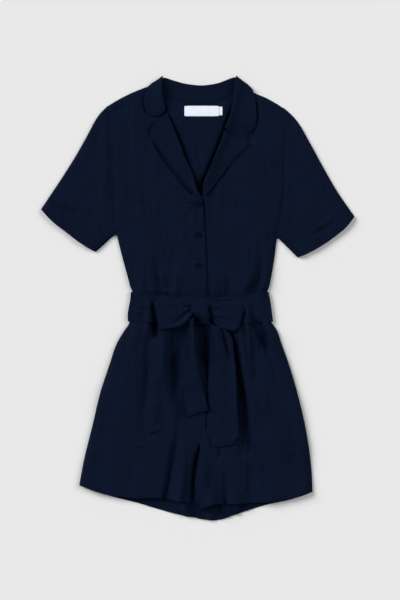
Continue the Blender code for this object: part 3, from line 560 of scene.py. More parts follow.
def placket_lift(x, y):
    return PLACKET_LIFT * rising(x, -62, 36) * np.ones_like(y)


def no_lift(x, y):
    return 0 * x


print("folds laid by hand:", len(FRONT_FOLDS))

# %% [markdown]
# One function turns a net of points into a piece of cloth and seats it in the frame. The mesh is
# made in one go from rows and columns, carries a UV map in metres of cloth, so that the weave has
# its true size, and gets its thickness from Solidify. A ring's last column is its first again, so
# it closes without a seam.

# %% From a net of points to a piece of cloth
nets, walls = {}, {}


def turned(plan, angle):
    """Plan points turned, so that the weave runs along the piece."""
    c, s = math.cos(math.radians(angle)), math.sin(math.radians(angle))
    return np.dstack([plan[..., 0] * c + plan[..., 1] * s, plan[..., 1] * c - plan[..., 0] * s])


def quads(index):
    """The four corners of every cell in a grid of numbers."""
    return np.stack([index[:-1, :-1], index[:-1, 1:], index[1:, 1:], index[1:, :-1]], axis=-1)


def grid_mesh(name, grid, flat, ring=False):
    rows, columns = grid.shape[:2]
    kept = columns - 1 if ring else columns
    index = np.arange(rows * kept).reshape(rows, kept)
    if ring:
        index = np.concatenate([index, index[:, :1]], axis=1)
    mesh = bpy.data.meshes.new(name)
    mesh.from_pydata((grid[:, :kept].reshape(-1, 3) * MM).tolist(), [], quads(index).reshape(-1, 4).tolist())
    corners = quads(np.arange(rows * columns).reshape(rows, columns)).reshape(-1)
    layer = mesh.uv_layers.new(name="cloth")
    layer.data.foreach_set("uv", (flat.reshape(-1, 2)[corners] * MM).ravel())
    mesh.shade_smooth()
    return mesh


def measured(grid):
    """The widest row, the longest column and the area of a net, in metres."""
    across = np.linalg.norm(np.diff(grid, axis=1), axis=2).sum(axis=1).max() * MM
    down = np.linalg.norm(np.diff(grid, axis=0), axis=2).sum(axis=0).max() * MM
    one, two = grid[1:, 1:] - grid[:-1, :-1], grid[1:, :-1] - grid[:-1, 1:]
    area = np.linalg.norm(np.cross(one, two), axis=2).sum() / 2 * MM * MM
    return across, down, area


def lay(name, node, grid, wall=CLOTH, ring=False, grain=0.0, flat=None, tape=False):
    """A net as a piece of cloth, with its cut, what it stands for and what it rests on."""
    if flat is None:
        flat = turned(grid[..., :2], grain)
    piece = placed(name, grid_mesh(name, grid, flat, ring))
    piece.data.materials.append(TAPE if tape else LINEN)
    wide = piece.modifiers.new("wall", "SOLIDIFY")
    wide.thickness = wall * MM
    wide.offset = 0
    wide.use_quality_normals = True
    nets[name], walls[name] = grid, wall
    across, down, area = measured(grid)
    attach(piece, "root")
    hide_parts(node)
    print(f"{name}: cut {across * 1000:.0f} x {down * 1000:.0f} mm, {area:.4f} m2")


# %% [markdown]
# Shader maths reads best as plain Python. A small class wraps a socket and lets it be added,
# subtracted and multiplied; each operator adds the Math node that does the same. A second class
# makes any other node from its type, its settings and its inputs.

# %% A wrapper that turns Python expressions into shader nodes


class Wire:
    """A number's socket that takes part in Python arithmetic."""

    def __init__(self, net, socket):
        self.net = net
        self.socket = socket

    def math(self, operation, *others, first=None):
        sources = [self if first is None else first, *others]
        return self.net.node("ShaderNodeMath", {"operation": operation}, dict(enumerate(sources)))

    def __add__(self, other):
        return self.math("ADD", other)

    def __sub__(self, other):
        return self.math("SUBTRACT", other)

    def __rsub__(self, other):
        return self.math("SUBTRACT", self, first=other)

    def __mul__(self, other):
        return self.math("MULTIPLY", other)

    def sine(self):
        return self.math("SINE")

    def size(self):
        return self.math("ABSOLUTE")

    def to(self, low, high):
        """This value moved from a range to 0 to 1, and kept inside it."""
        sources = {"Value": self, "From Min": low, "From Max": high, "To Min": 0.0, "To Max": 1.0}
        return self.net.node("ShaderNodeMapRange", {"clamp": True}, sources)


class Net:
    """The nodes of one material."""

    def __init__(self, name):
        self.material = bpy.data.materials.new(name)
        self.material.use_nodes = True
        self.nodes = self.material.node_tree.nodes
        self.links = self.material.node_tree.links
        self.shader = self.nodes["Principled BSDF"]

    def node(self, kind, settings, sources, output=0):
        made = self.nodes.new(kind)
        for name, value in settings.items():
            setattr(made, name, value)
        for key, source in sources.items():
            self.feed(made.inputs[key], source)
        return Wire(self, made.outputs[output])

    def feed(self, socket, source):
        if isinstance(source, Wire):
            self.links.new(source.socket, socket)
        else:
            socket.default_value = source

    def set(self, **values):
        for name, value in values.items():
            self.feed(self.shader.inputs[name.replace("_", " ")], value)

    def cloth_map(self):
        """The two directions of a piece's own map, in metres of cloth."""
        place = self.node("ShaderNodeUVMap", {"uv_map": "cloth"}, {})
        apart = self.node("ShaderNodeSeparateXYZ", {}, {0: place})
        return apart, Wire(self, apart.socket.node.outputs[1])

    def noise(self, place, scale, detail):
        return self.node("ShaderNodeTexNoise", {}, {"Vector": place, "Scale": scale, "Detail": detail})

    def mix(self, factor, first, second):
        sources = {"Factor": factor, "A": (*first, 1), "B": (*second, 1)}
        return self.node("ShaderNodeMix", {"data_type": "RGBA"}, sources, 2)

    def bump(self, height, distance, strength):
        sources = {"Height": height, "Distance": distance * MM, "Strength": strength}
        return self.node("ShaderNodeBump", {}, sources)


# %% [markdown]
# Linen is a plain weave: one thread over, one thread under, about sixteen to the centimetre. Its
# yarn is uneven, so thicker stretches, called slubs, run for a few centimetres along both sets of
# threads. The weave follows each panel's own map, turned with its grain. Dark dye hides most of
# the colour, so the slubs show mostly as relief and as a slight paling of the thread.

# %% The navy linen
THREAD = 0.62 * MM
THREAD_WANDER = 1.5
WEAVE_DEPTH, WEAVE_RELIEF = 0.25, 0.35
NAVY_DEEP = (0.0017, 0.0046, 0.0160)
NAVY_PALE = (0.0042, 0.0090, 0.0262)
LINEN_ROUGHNESS = 0.86
SHEEN_TINT = (0.4, 0.6, 1.0, 1)


def linen():
    net = Net("navy_linen_weave")
    u, v = net.cloth_map()

    def noise(size_u, size_v, detail):
        places = {0: u * (1 / (size_u * MM)), 1: v * (1 / (size_v * MM))}
        stretch = net.node("ShaderNodeCombineXYZ", {}, places)
        return net.noise(stretch, 1.0, detail)

    warp_slub, weft_slub = noise(1.6, 38, 3.0), noise(34, 1.5, 3.0)
    streak, mottle = noise(5.5, 90, 2.0), noise(55, 70, 4.0)
    warp = (u * (math.pi / THREAD) + (warp_slub - 0.5) * THREAD_WANDER).sine()
    weft = (v * (math.pi / THREAD) + (weft_slub - 0.5) * THREAD_WANDER).sine()
    over = (warp * weft).to(-0.6, 0.6)
    threads = over * warp.size() + (1 - over) * weft.size()
    slubs = warp_slub.to(0.52, 0.72) + weft_slub.to(0.54, 0.74)
    pale = slubs * 0.32 + mottle.to(0.3, 0.7) * 0.26 + streak.to(0.3, 0.7) * 0.16 + threads * 0.14
    net.set(
        Base_Color=net.mix(pale, NAVY_DEEP, NAVY_PALE),
        Roughness=(1 - slubs * 0.06) * LINEN_ROUGHNESS,
        Normal=net.bump(threads * 0.5 + slubs * 0.55, WEAVE_DEPTH, WEAVE_RELIEF),
        Sheen_Weight=0.01, Sheen_Roughness=0.5, Sheen_Tint=SHEEN_TINT, Specular_IOR_Level=0.04,
    )
    return net.material


LINEN = linen()
print("linen: a thread every", round(THREAD * 1000, 2), "mm")

# %% [markdown]
# The back bodice is one panel, and only the part inside the neck shows, with a soft pleat that
# stands up where the fronts leave it free. It lies straight on the table, so all of it inside the
# neck is lifted, and no fold is pushed down into the table.

# %% Back bodice
CELL = 2.0
BACK_CELL = 3.0
INSIDE_RISE, LOW_RISE = 7.6, 4.0
INSIDE_FOLDS = [
    Fold("centre back pleat", [(-12, 316), (-11, 296), (-5, 276), (2, 256)], (5, 5), (0.5, 2.6, 0.8)),
    Fold("second pleat", [(14, 300), (14, 280), (13, 262)], (2.6, 2.6), (0.4, 2.4, 0.8)),
    Fold("crease between them", [(4, 300), (3, 275), (6, 250)], (3.5, 3.5), (-0.6, -2, -1)),
    Fold("pleat from the label", [(9, 356), (10, 340), (9, 322)], (3, 3), (-0.6, -1.4, -0.4)),
    Fold("left swell", [(-36, 350), (-28, 320), (-18, 285)], (8, 8), (0.5, 1.2, 0.8)),
    Fold("right swell", [(40, 350), (32, 325), (24, 292)], (8, 8), (0.5, 1.2, 0.8)),
]


def across_at(line, y):
    """How far across a line is at each height up the garment."""
    return np.interp(y, [point[1] for point in line], [point[0] for point in line])


def inside_back(x, y):
    """The back panel: flat under the fronts, and risen inside the neck, clear of both rolls."""
    raised = relief(x, y, INSIDE_FOLDS) + 0.5 * (1 + swell(x, y, 16, 31))
    left_roll, right_roll = across_at(ROLL_LEFT, y), across_at(ROLL_RIGHT, y)
    low = falling(y, 290, 40)
    inside = rising(x, left_roll - 2, 7 - 3 * low) * falling(x, right_roll + 1, 9)
    by_left = np.clip((right_roll - x) / np.maximum(right_roll - left_roll, 1), 0, 1)
    full = INSIDE_RISE + LOW_RISE * low * by_left * rising(y, 225, 24)
    lifted = full * falling(y, 400, 40) + raised * falling(y, 404, 40)
    return back_height(x, y) + lifted * inside * rising(y, 215, 30)


def cells(length, size=CELL):
    return max(4, round(length / size))


def panel(bottom, top, left, right, height):
    plan = patch(bottom, top, left, right)
    return np.dstack([plan, height(plan[..., 0], plan[..., 1])])


def make_back():
    side, armhole = cells(SIDE_LENGTH, BACK_CELL), cells(ARMHOLE_LENGTH, BACK_CELL)
    shoulder, neck = 30, 44
    grid = panel(
        along([SIDE_LEFT[0], SIDE_RIGHT[0]], 2 * shoulder + neck),
        edge((SHOULDER_LEFT, shoulder), (BACK_NECK, neck), (SHOULDER_RIGHT[::-1], shoulder)),
        edge((SIDE_LEFT, side), (ARMHOLE_LEFT, armhole)), edge((SIDE_RIGHT, side), (ARMHOLE_RIGHT, armhole)),
        inside_back,
    )
    lay("back", "back_bodice", grid)


make_back()

# %% [markdown]
# The two fronts meet at the buttons, the left one on top. Each panel stops just inside its roll
# line, where the lapel takes over. Seams pucker the cloth a little, and the free edge stands up.

# %% Front bodice
EDGE_BEHIND_ROLL = 3.5
EDGE_LIFT, TURN_LIFT = 0.8, 2.6
Pucker = namedtuple("Pucker", "strength line size reach seed")
FRONT_PUCKERS = [
    Pucker(0.5, ARMHOLE_LINES[0], 6, 9, 41), Pucker(0.5, ARMHOLE_LINES[1], 6, 9, 42),
    Pucker(0.35, along([(-14, 0), (-14, 186)], 8), 5, 8, 43),
]


def puckers(x, y, *table):
    """Small ripples across seams, dying away from them."""
    total = 0
    for row in table:
        away, share = nearest(x, y, row.line)
        ripple = swell(share * walked(row.line)[-1], 0 * away, row.size, row.seed)
        total = total + row.strength * ripple * np.exp(-away / row.reach)
    return total


def edge_lift(x, y):
    """The placket's free edge stands up a little, and more where the lapel begins to turn."""
    away = distance(x, y, along(FRONT_EDGE_LEFT, 12))
    return fading(away, 9) * (EDGE_LIFT + TURN_LIFT * rising(y, 150, 40)) * rising(y, 6, 20)


def front_cloth(x, y):
    return front_height(x, y) + puckers(x, y, *FRONT_PUCKERS)


def left_front_cloth(x, y):
    return front_cloth(x, y) + placket_lift(x, y) + edge_lift(x, y)


def make_fronts():
    side, armhole, across = cells(SIDE_LENGTH), cells(ARMHOLE_LENGTH), cells(150)
    left_edge = edge((FRONT_EDGE_LEFT, side), (ROLL_LEFT, armhole))
    left_edge[side + 1:] = beside(left_edge, EDGE_BEHIND_ROLL)[side + 1:]
    left_edge[-1] = SHOULDER_LEFT[-1]
    grid = panel(
        along([SIDE_LEFT[0], FRONT_EDGE_LEFT[0]], across), along(SHOULDER_LEFT, across),
        edge((SIDE_LEFT, side), (ARMHOLE_LEFT, armhole)), left_edge, left_front_cloth,
    )
    lay("front_left", "front_bodice_left", grid)
    right_edge = edge((FRONT_EDGE_RIGHT, side), (ROLL_RIGHT, armhole))
    right_edge[side + 1:] = beside(right_edge, -EDGE_BEHIND_ROLL)[side + 1:]
    right_edge[-1] = SHOULDER_RIGHT[-1]
    grid = panel(
        along([FRONT_EDGE_RIGHT[0], SIDE_RIGHT[0]], across), along(SHOULDER_RIGHT[::-1], across),
        right_edge, edge((SIDE_RIGHT, side), (ARMHOLE_RIGHT, armhole)), front_cloth,
    )
    lay("front_right", "front_bodice_right", grid)


make_fronts()

# %% [markdown]
# A sleeve lying flat is a tube pressed down: a top layer, a tight turn at the outer fold and at the
# underarm, and a bottom layer on the table. The top dips to the armhole seam, where the bodice
# shades it, and ripples near the hem.

# %% Sleeves
SLEEVE_LENGTH = 265
SEAM_TUCK, SEAM_DROP, SEAM_REACH = 2.2, 0.7, 8.0
SLEEVE_SEAM, SLEEVE_TURN = 2.4, 1.6
SLEEVE_PUFF, SLEEVE_REACH, SLEEVE_SHARE = 4.6, 17.0, 0.66
SLEEVE_HEM, SLEEVE_HEM_WIDTH = 0.5, 24
SLEEVE_LOW = -0.4
OTHER_CREASES = 500
LEFT_SLEEVE_FOLDS = [
    Fold(
        "left armhole trough", [(-177, 345), (-171, 285), (-169, 215), (-168, 150)],
        (5, 6), (-0.8, -2.2, -2.2),
    ),
    Fold(
        "swell by the left armhole", [(-188, 340), (-188, 270), (-190, 200), (-196, 150)],
        (12, 12), (0.5, 1.8, 1.8),
    ),
    Fold("left cuff ripple", [(-284, 195), (-272, 186), (-258, 190), (-240, 178)], (4, 4), (0.4, 1.1, 0.4)),
    Fold("left cuff dip", [(-290, 185), (-270, 174), (-248, 172), (-232, 160)], (5, 5), (-0.6, -1.8, -0.6)),
    Fold("left sleeve fold", [(-200, 330), (-226, 262), (-256, 205)], (14, 14), (-0.5, -1.4, 0)),
]
RIGHT_SLEEVE_FOLDS = [
    Fold(
        "right armhole trough", [(173.5, 340), (173, 280), (172, 205), (165, 150)],
        (5, 5), (-1.4, -2, -0.6),
    ),
    Fold("right sleeve valley", [(186, 350), (196, 300), (214, 250)], (14, 14), (-1, -2.2, -0.5)),
    Fold("right sleeve swell", [(212, 318), (236, 262), (266, 205)], (14, 14), (0.5, 1.8, 0.5)),
    Fold(
        "right cuff ripple", [(226, 134), (250, 150), (276, 166), (296, 168)],
        (4.5, 4.5), (0.4, 1.3, 0.5),
    ),
    Fold("right cuff dip", [(222, 122), (248, 136), (280, 152)], (5, 5), (-0.6, -2, -0.8)),
    Fold("right sleeve ridge", [(190, 230), (212, 190), (222, 150)], (8, 8), (0.3, 1.5, 0.5)),
]


def make_sleeve(name, node, armhole, lines, folds, grain, mirrored):
    rows, columns = cells(SLEEVE_LENGTH), cells(ARMHOLE_LENGTH, BACK_CELL)
    across_armhole, cuff = along(armhole[::-1], columns), along(lines["cuff"], columns)
    outer, under = along(lines["outer"], rows), along(lines["underarm"], rows)
    outer[0], under[0] = across_armhole[0], across_armhole[-1]
    plan = patch(across_armhole, cuff, outer, under)
    x, y = plan[..., 0], plan[..., 1]
    armhole_away = distance(x, y, across_armhole)
    body = partly(SLEEVE_SHARE, armhole_away, ARMHOLE_REACH)
    body = body * rounded(distance(x, y, outer, under), SLEEVE_REACH)
    folded = relief(x, y, folds) + 0.9 * noisy(x + OTHER_CREASES, y, *CRUMPLE)
    folded = folded + puckers(x, y, Pucker(0.5, across_armhole, 6, 8, 51), Pucker(0.25, cuff, 7, 14, 52))
    hem = SLEEVE_HEM * falling(distance(x, y, cuff), SLEEVE_HEM_WIDTH, 1.5)
    puff = np.maximum((SLEEVE_PUFF + folded) * body, SLEEVE_LOW)
    joined = fading(armhole_away, SEAM_REACH)
    top = (FLOOR_CLOTH + SLEEVE_SEAM + puff + hem * body) * (1 - joined) + (front_cloth(x, y) + 0.1) * joined
    inward = plan.copy()
    for at, beyond in ((0, 1), (-1, -2)):
        way = plan[:, beyond] - plan[:, at]
        inward[:, at] += way / np.linalg.norm(way, axis=1)[:, None] * SLEEVE_TURN
    upper = np.dstack([inward, top])
    lower = np.dstack([inward, np.full(top.shape, FLOOR_CLOTH)])
    turns = np.dstack([plan, (top + FLOOR_CLOTH) / 2])
    ring = np.concatenate([turns[:, :1], upper, turns[:, -1:], lower[:, ::-1], turns[:, :1]], axis=1)
    tucked, inwards = ring[:1].copy(), -1 if mirrored else 1
    tucked[0, 2:columns + 1, 0] += SEAM_TUCK * inwards
    tucked[0, 1:columns + 2, 2] -= SEAM_DROP
    tucked[0, columns + 3:, 0] += 0.1 * inwards
    ring = np.concatenate([tucked, ring])
    if mirrored:
        ring = ring[:, ::-1]
    lay(name, node, ring, ring=True, grain=grain)
    nets[name] = upper


make_sleeve("left_sleeve", "sleeve_left", ARMHOLE_LEFT, SLEEVE_LEFT, LEFT_SLEEVE_FOLDS, -34, False)
make_sleeve("right_sleeve", "sleeve_right", ARMHOLE_RIGHT, SLEEVE_RIGHT, RIGHT_SLEEVE_FOLDS, 34, True)

# %% [markdown]
# The shorts are gathered into the waist and hang in uneven folds down to a wide hem. The folds come
# from the table above. The hem is a second layer inside, so the cloth steps up by its thickness,
# and the backs show below the fronts, inside out.

# %% Shorts
HEM_WIDTH, HEM_STEP, HEM_GROOVE = 27.0, 0.55, 0.3


def shorts_cloth(hem_line):
    line = along(hem_line, 40)

    def height(x, y):
        away = distance(x, y, line)
        hem = HEM_STEP * falling(away, HEM_WIDTH, 1.6)
        groove = HEM_GROOVE * fading(away - HEM_WIDTH + 1.5, 1.1)
        return front_height(x, y) + hem - groove + puckers(x, y, Pucker(0.35, line, 7, 16, 61))

    return height


BACK_HEM_FOLDS = [
    Fold("hook at the inner corner", [(-34, -402), (-28, -415), (-20, -432)], (8, 7), (5, 12, 9), 3),
    Fold("fold beside the second swell", [(74, -404), (76, -416), (79, -430)], (5, 5), (4, 9, 5), 3),
    Fold("arch of the back hem", [(24, -424), (24, -432), (24, -446)], (9, 10), (1, 5, 6)),
    Fold("foot of the inner corner", [(2, -404), (3, -424), (4, -444)], (5, 5), (1, 3.5, 2)),
    Fold("foot of the step", [(49, -402), (49, -420), (48, -440)], (4, 4), (1, 3.5, 1.5)),
    Fold("second swell", [(64, -400), (63, -420), (62, -440)], (8, 8), (1.5, 3, 2.5)),
    Fold("third swell", [(100, -396), (100, -412), (100, -430)], (10, 10), (0.8, 1.6, 1.2)),
    Fold("left swell of the back hem", [(-42, -394), (-42, -412), (-42, -434)], (12, 12), (1, 2.2, 1.6)),
    Fold("far left swell", [(-96, -390), (-96, -404), (-96, -420)], (12, 12), (0.6, 1.2, 1)),
]
INSEAM_LAP, INSEAM_LIFT = 2.5, 1.3


def back_of_shorts(x, y):
    ripple = 0.4 * (1 + swell(x, y * 0.35, 15, 62)) + 0.3 * (1 + swell(x, y * 0.3, 7, 63))
    raised = np.maximum(ripple + relief(x, y, BACK_HEM_FOLDS), 0)
    return back_height(x, y) + raised * falling(y, -360, 30)


def make_shorts():
    down, leg, across = cells(CENTRE_LENGTH), cells(FRONT_LEG_LENGTH), cells(250)
    share = round(across * 0.36)
    grid = panel(
        edge((FRONT_HEM_LEFT[:3], across - 2 * share + 6), (FRONT_HEM_LEFT[2:], 2 * share - 6)),
        along([OUTSEAM_LEFT[0], CENTRE_FRONT[0]], across), along(OUTSEAM_LEFT, down + leg)[::-1],
        edge((CENTRE_FRONT, down), (FRONT_INSEAM_LEFT, leg))[::-1], shorts_cloth(FRONT_HEM_LEFT),
    )
    lay("left_leg_front", "shorts_front_left", grid)
    grid = panel(
        edge((FRONT_HEM_RIGHT[:5], across - share), (FRONT_HEM_RIGHT[4:], share)),
        along([CENTRE_FRONT[0], OUTSEAM_RIGHT[0]], across),
        edge((CENTRE_FRONT, down), (FRONT_INSEAM_RIGHT, leg))[::-1],
        along(OUTSEAM_RIGHT, down + leg)[::-1], shorts_cloth(FRONT_HEM_RIGHT),
    )
    lay("right_leg_front", "shorts_front_right", grid)
    leg, across = cells(BACK_LEG_LENGTH), cells(240)
    between = edge((CENTRE_BACK, down), (BACK_INSEAM, leg))[::-1]
    grid = panel(
        along(BACK_HEM_LEFT, across), along([OUTSEAM_LEFT[0], CENTRE_BACK[0]], across),
        along(OUTSEAM_LEFT, down + leg)[::-1], between, back_of_shorts,
    )
    lay("left_leg_back", "shorts_back_left", grid)
    grid = panel(
        along(BACK_HEM_RIGHT, across), along([CENTRE_BACK[0], OUTSEAM_RIGHT[0]], across),
        between, along(OUTSEAM_RIGHT, down + leg)[::-1], back_of_shorts,
    )
    lap = 1 - rising(grid[..., 0], grid[:, :1, 0], 14)
    grid[..., 2] += INSEAM_LIFT * lap
    grid[..., 0] -= INSEAM_LAP * lap
    lay("right_leg_back", "shorts_back_right", grid)


make_shorts()

# %% [markdown]
# A notched collar rolls over on itself. Behind the neck a stand rises to the roll and the fall
# comes back down under the garment. In front, the collar leaves and the lapels are cloth turned
# back at the roll line: a hidden layer, a round turn, and the layer that shows, two cloths thick.

# %% Collar and lapels
Section = namedtuple("Section", "seam roll outer")
COLLAR_BACK = [
    Section((-69, 425), (-68, 441.5), (-103, 419)), Section((-62, 412), (-58, 438.5), (-84, 403)),
    Section((-49, 400), (-42, 433.5), (-54, 389)), Section((-25, 390), (-22, 428.5), (-26, 380)),
    Section((6, 386), (8, 425.5), (6, 377)), Section((37, 390), (38, 429.5), (40, 380)),
    Section((59, 400), (54, 435), (68, 389)), Section((69, 412), (67, 440), (94, 401)),
    Section((75, 425), (75, 442), (112, 416)),
]
LAPEL_LEFT = {
    "roll": [(7, 201.5), (-3, 219), (-9, 243), (-27, 284), (-45, 332), (-62.5, 370.5)],
    "outer": [(4, 199), (-9, 215), (-37, 249), (-62, 281), (-86, 315), (-91.5, 333)],
    "end": [(-62.5, 370.5), (-70, 361), (-77, 353), (-86, 346.5), (-91.5, 333)],
}
LAPEL_RIGHT = {
    "roll": [(11.5, 207), (12, 228), (25, 261), (41, 300), (50, 324), (53, 335)],
    "outer": [(15, 205), (30, 225), (48, 247), (66, 268), (84, 287), (102, 301)],
    "end": [(53, 335), (64, 324), (80, 315), (94, 311), (104, 308), (102, 301)],
}
LEAF_LEFT = {
    "roll": [(-64.5, 374.5), (-68, 390), (-71, 405), (-71.5, 425), (-70, 444.5)],
    "outer": [(-101, 370), (-106, 383), (-107, 398), (-105, 409), (-101.5, 420)],
    "end": [(-70, 444.5), (-81, 436), (-91, 430), (-101.5, 420)],
    "start": [(-64.5, 374.5), (-72, 367), (-80, 363.5), (-91, 364), (-101, 370)],
}
LEAF_RIGHT = {
    "roll": [(54, 340), (61, 356), (66, 370), (69.5, 386), (72.5, 405), (75, 422), (77, 444.5)],
    "outer": [(115.5, 342), (116.5, 360), (116, 385), (113.5, 405), (107, 420)],
    "end": [(77, 444.5), (89, 435), (99, 427.5), (107, 420)],
    "start": [(54, 340), (66, 329), (80, 322), (97, 330), (115.5, 342)],
}
COLLAR_STAND, STAND_REACH = 3.6, 22.0
COLLAR_TURN, ROLL_TURN = 2.2, 1.6
TURNED_GAP, TURNED_WALL, TURNED_CELLS = 0.9, 1.3, 22
TUCK_WIDTH, UNDER_DROP = 9.0, 0.4
LEAF_EDGE_HEIGHT, LEAF_EDGE_REACH = 5.4, 7.0


def arc(near, far, middle, steps=5):
    """A half turn from a low point round to a high one, bulging out to the middle."""
    angle = np.linspace(-90, 90, steps + 2)[1:-1, None] * math.pi / 180
    centre = (near + far) / 2
    return centre + (far - near) / 2 * np.sin(angle) + (middle - centre) * np.cos(angle)


def make_turned_back(name, node, lines, lift, rows, edge_height=None, grain=0.0, drops=()):
    roll, outer = along(lines["roll"], rows), along(lines["outer"], rows)
    start = along(lines.get("start", [roll[0], outer[0]]), TURNED_CELLS)
    plan = patch(start, along(lines["end"], TURNED_CELLS), roll, outer)
    x, y = plan[..., 0], plan[..., 1]

    def seat(x, y):
        return front_height(x, y, valleys=False, fine=False) + lift(x, y) + WALL + TURNED_GAP

    across = plan[:, 1] - plan[:, 0]
    across /= np.linalg.norm(across, axis=1)[:, None]
    room = np.linalg.norm(plan[:, -1] - plan[:, 0], axis=1)
    slim = soft_step(room / 24)[:, None]
    near_roll = 1 - soft_step(np.hypot(x - x[:, :1], y - y[:, :1]) / STAND_REACH)
    base = seat(x, y)
    soft = 0.35 * swell(x, y, 15, 71) + 0.3 * creases(x, y, 20, 72)
    over = np.dstack([x, y, base + COLLAR_STAND * near_roll * slim + 0.5 + soft * slim])
    over[:, 0, :2] += across * ROLL_TURN
    for side, near_end, far_end, reach in drops:
        away, share = nearest(x, y, along(lines[side], 16))
        over[..., 2] -= (near_end + (far_end - near_end) * share) * fading(away, reach)
    tuck = plan[:, 0] + across * np.minimum(TUCK_WIDTH, room * 0.5)[:, None]
    under = np.column_stack([tuck, seat(tuck[:, 0], tuck[:, 1]) - UNDER_DROP])
    near = np.column_stack([plan[:, 0] + across * ROLL_TURN, base[:, 0] - UNDER_DROP])
    out = np.column_stack([plan[:, 0] - across * 0.2, (near[:, 2] + over[:, 0, 2]) / 2])
    turns = [arc(near[i], over[i, 0], out[i]) for i in range(rows + 1)]
    grid = np.concatenate([np.stack([under, near], axis=1), np.array(turns), over], axis=1)
    if edge_height:
        away = distance(grid[..., 0], grid[..., 1], along(lines["end"], 16))
        grid[..., 2] -= (grid[..., 2] - edge_height) * (1 - rounded(away, LEAF_EDGE_REACH))
    lay(name, node, grid, wall=TURNED_WALL, grain=grain)
    nets[name] = over


def make_collar_back(cross=10, rows=60):
    knots = np.arange(len(COLLAR_BACK))
    at = np.linspace(0, knots[-1], rows + 1)
    rolls, outers = (
        through(knots, [getattr(section, part) for section in COLLAR_BACK], at) for part in ("roll", "outer")
    )
    shares = np.linspace(0, 1, cross)[:, None]
    grid = []
    for share, seam, roll, outer in zip(at / knots[-1], through(knots, BACK_NECK, at), rolls, outers):
        to_seam = (seam - roll) / np.linalg.norm(seam - roll)
        to_outer = (outer - roll) / np.linalg.norm(outer - roll)
        taller = 2.0 * abs(2 * share - 1) ** 3
        stand = seam + (roll + to_seam * COLLAR_TURN - seam) * shares
        ripple = 0.25 * swell(stand[:, :1], stand[:, 1:], 14, 75) * shares
        rise = float(inside_back(*seam)) + 0.1 + (0.3 + taller) * soft_step(shares) + ripple
        stand[0] += to_seam * SEAM_TUCK
        rise[0] -= SEAM_DROP / 2
        stand = np.hstack([stand, rise])
        fall = roll + to_outer * COLLAR_TURN + (outer - roll - to_outer * COLLAR_TURN) * shares
        fall = np.hstack([fall, np.full((cross, 1), FLOOR_CLOTH + 0.1)])
        middle = np.array([*roll, (stand[-1, 2] + fall[0, 2]) / 2])
        grid.append(np.concatenate([stand, arc(fall[0], stand[-1], middle)[::-1], fall]))
    lay("collar_behind_neck", "collar_back", np.array(grid))


make_collar_back()
make_turned_back(
    "left_collar_leaf", "collar_leaf_left", LEAF_LEFT, placket_lift, rows=34,
    edge_height=LEAF_EDGE_HEIGHT, drops=[("start", 2.0, 0.6, 9)],
)
make_turned_back(
    "right_collar_leaf", "collar_leaf_right", LEAF_RIGHT, no_lift, rows=42,
    edge_height=LEAF_EDGE_HEIGHT, drops=[("start", 2.3, 2.2, 13)],
)
make_turned_back(
    "left_lapel", "lapel_left", LAPEL_LEFT, placket_lift, rows=90, grain=-22,
    drops=[("outer", -1.6, 0.4, 4.5)],
)
make_turned_back(
    "right_lapel", "lapel_right", LAPEL_RIGHT, no_lift, rows=84, grain=22,
    drops=[("outer", -0.6, 1.8, 4.5), ("end", 1.6, 1.8, 7)],
)

# %% [markdown]
# The sash is a double band round the waist. In front it lies over both fronts and creases a little
# along its length; behind, it lies flat on the table.

# %% Sash
BELT_LEFT = [(-139.5, -45.5), (-140, -35), (-138, -19), (-135, -3), (-133.5, 13)]
BELT_RIGHT = [(150.5, -46.5), (149, -35), (147, -19), (144.5, -3), (141.5, 13)]
BELT_GAP, BELT_TURN, BELT_WALL = 0.9, 2.2, 1.3


def belt_front(x, y):
    step = PLACKET_LIFT * rising(x, -66, 36) * falling(x, 44, 22)
    at_waist = front_height(x, 0 * y + WAIST_SEAM_Y, fine=False)
    top = np.maximum(at_waist, front_height(x, np.clip(y, -52, 8), fine=False))
    return top + WALL + BELT_GAP + step


BELT_FOLDS = [
    Fold("dimple under the knot", [(-10, -34), (4, -42), (18, -52)], (8, 8), (-2, -2.6, -2)),
    Fold("dimple right of the bow", [(108, -24), (113, -38), (118, -54)], (7, 8), (-2, -4, -5)),
    Fold("swell beyond it", [(112, -30), (118, -38), (126, -44)], (7, 7), (1, 2, 1.4)),
    Fold("bulge left of the bow", [(-99, 2), (-98, -26), (-94, -54)], (7, 5), (2, 11, 9), 3),
    Fold("bulge right of the bow", [(98, -14), (101, -32), (104, -50)], (5, 5), (2, 8, 9)),
    Fold("crease on the left", [(-110, -23), (-100, -23), (-92, -22)], (2.2, 2.2), (-0.6, -1.8, -1)),
    Fold("crease below it", [(-118, -51), (-108, -50), (-98, -50)], (2.2, 2.2), (-0.6, -1.6, -0.8)),
    Fold("fold above the right loop", [(40, -5), (58, -6), (76, -6)], (3, 3), (-0.8, -2.2, -1.2)),
    Fold("fold along the left loop", [(-84, 0), (-50, 0), (-10, -1)], (3, 3), (-0.8, -1.6, -0.8)),
]
EDGE_DROP = 0.7


def belt_creases(x, y):
    lengthwise = 0.55 * swell(x * 0.22, y, 6.5, 81) + 0.35 * swell(x * 0.3, y, 3.6, 82)
    return lengthwise + 0.4 * creases(x, y, 18, 83) + relief(x, y, BELT_FOLDS)


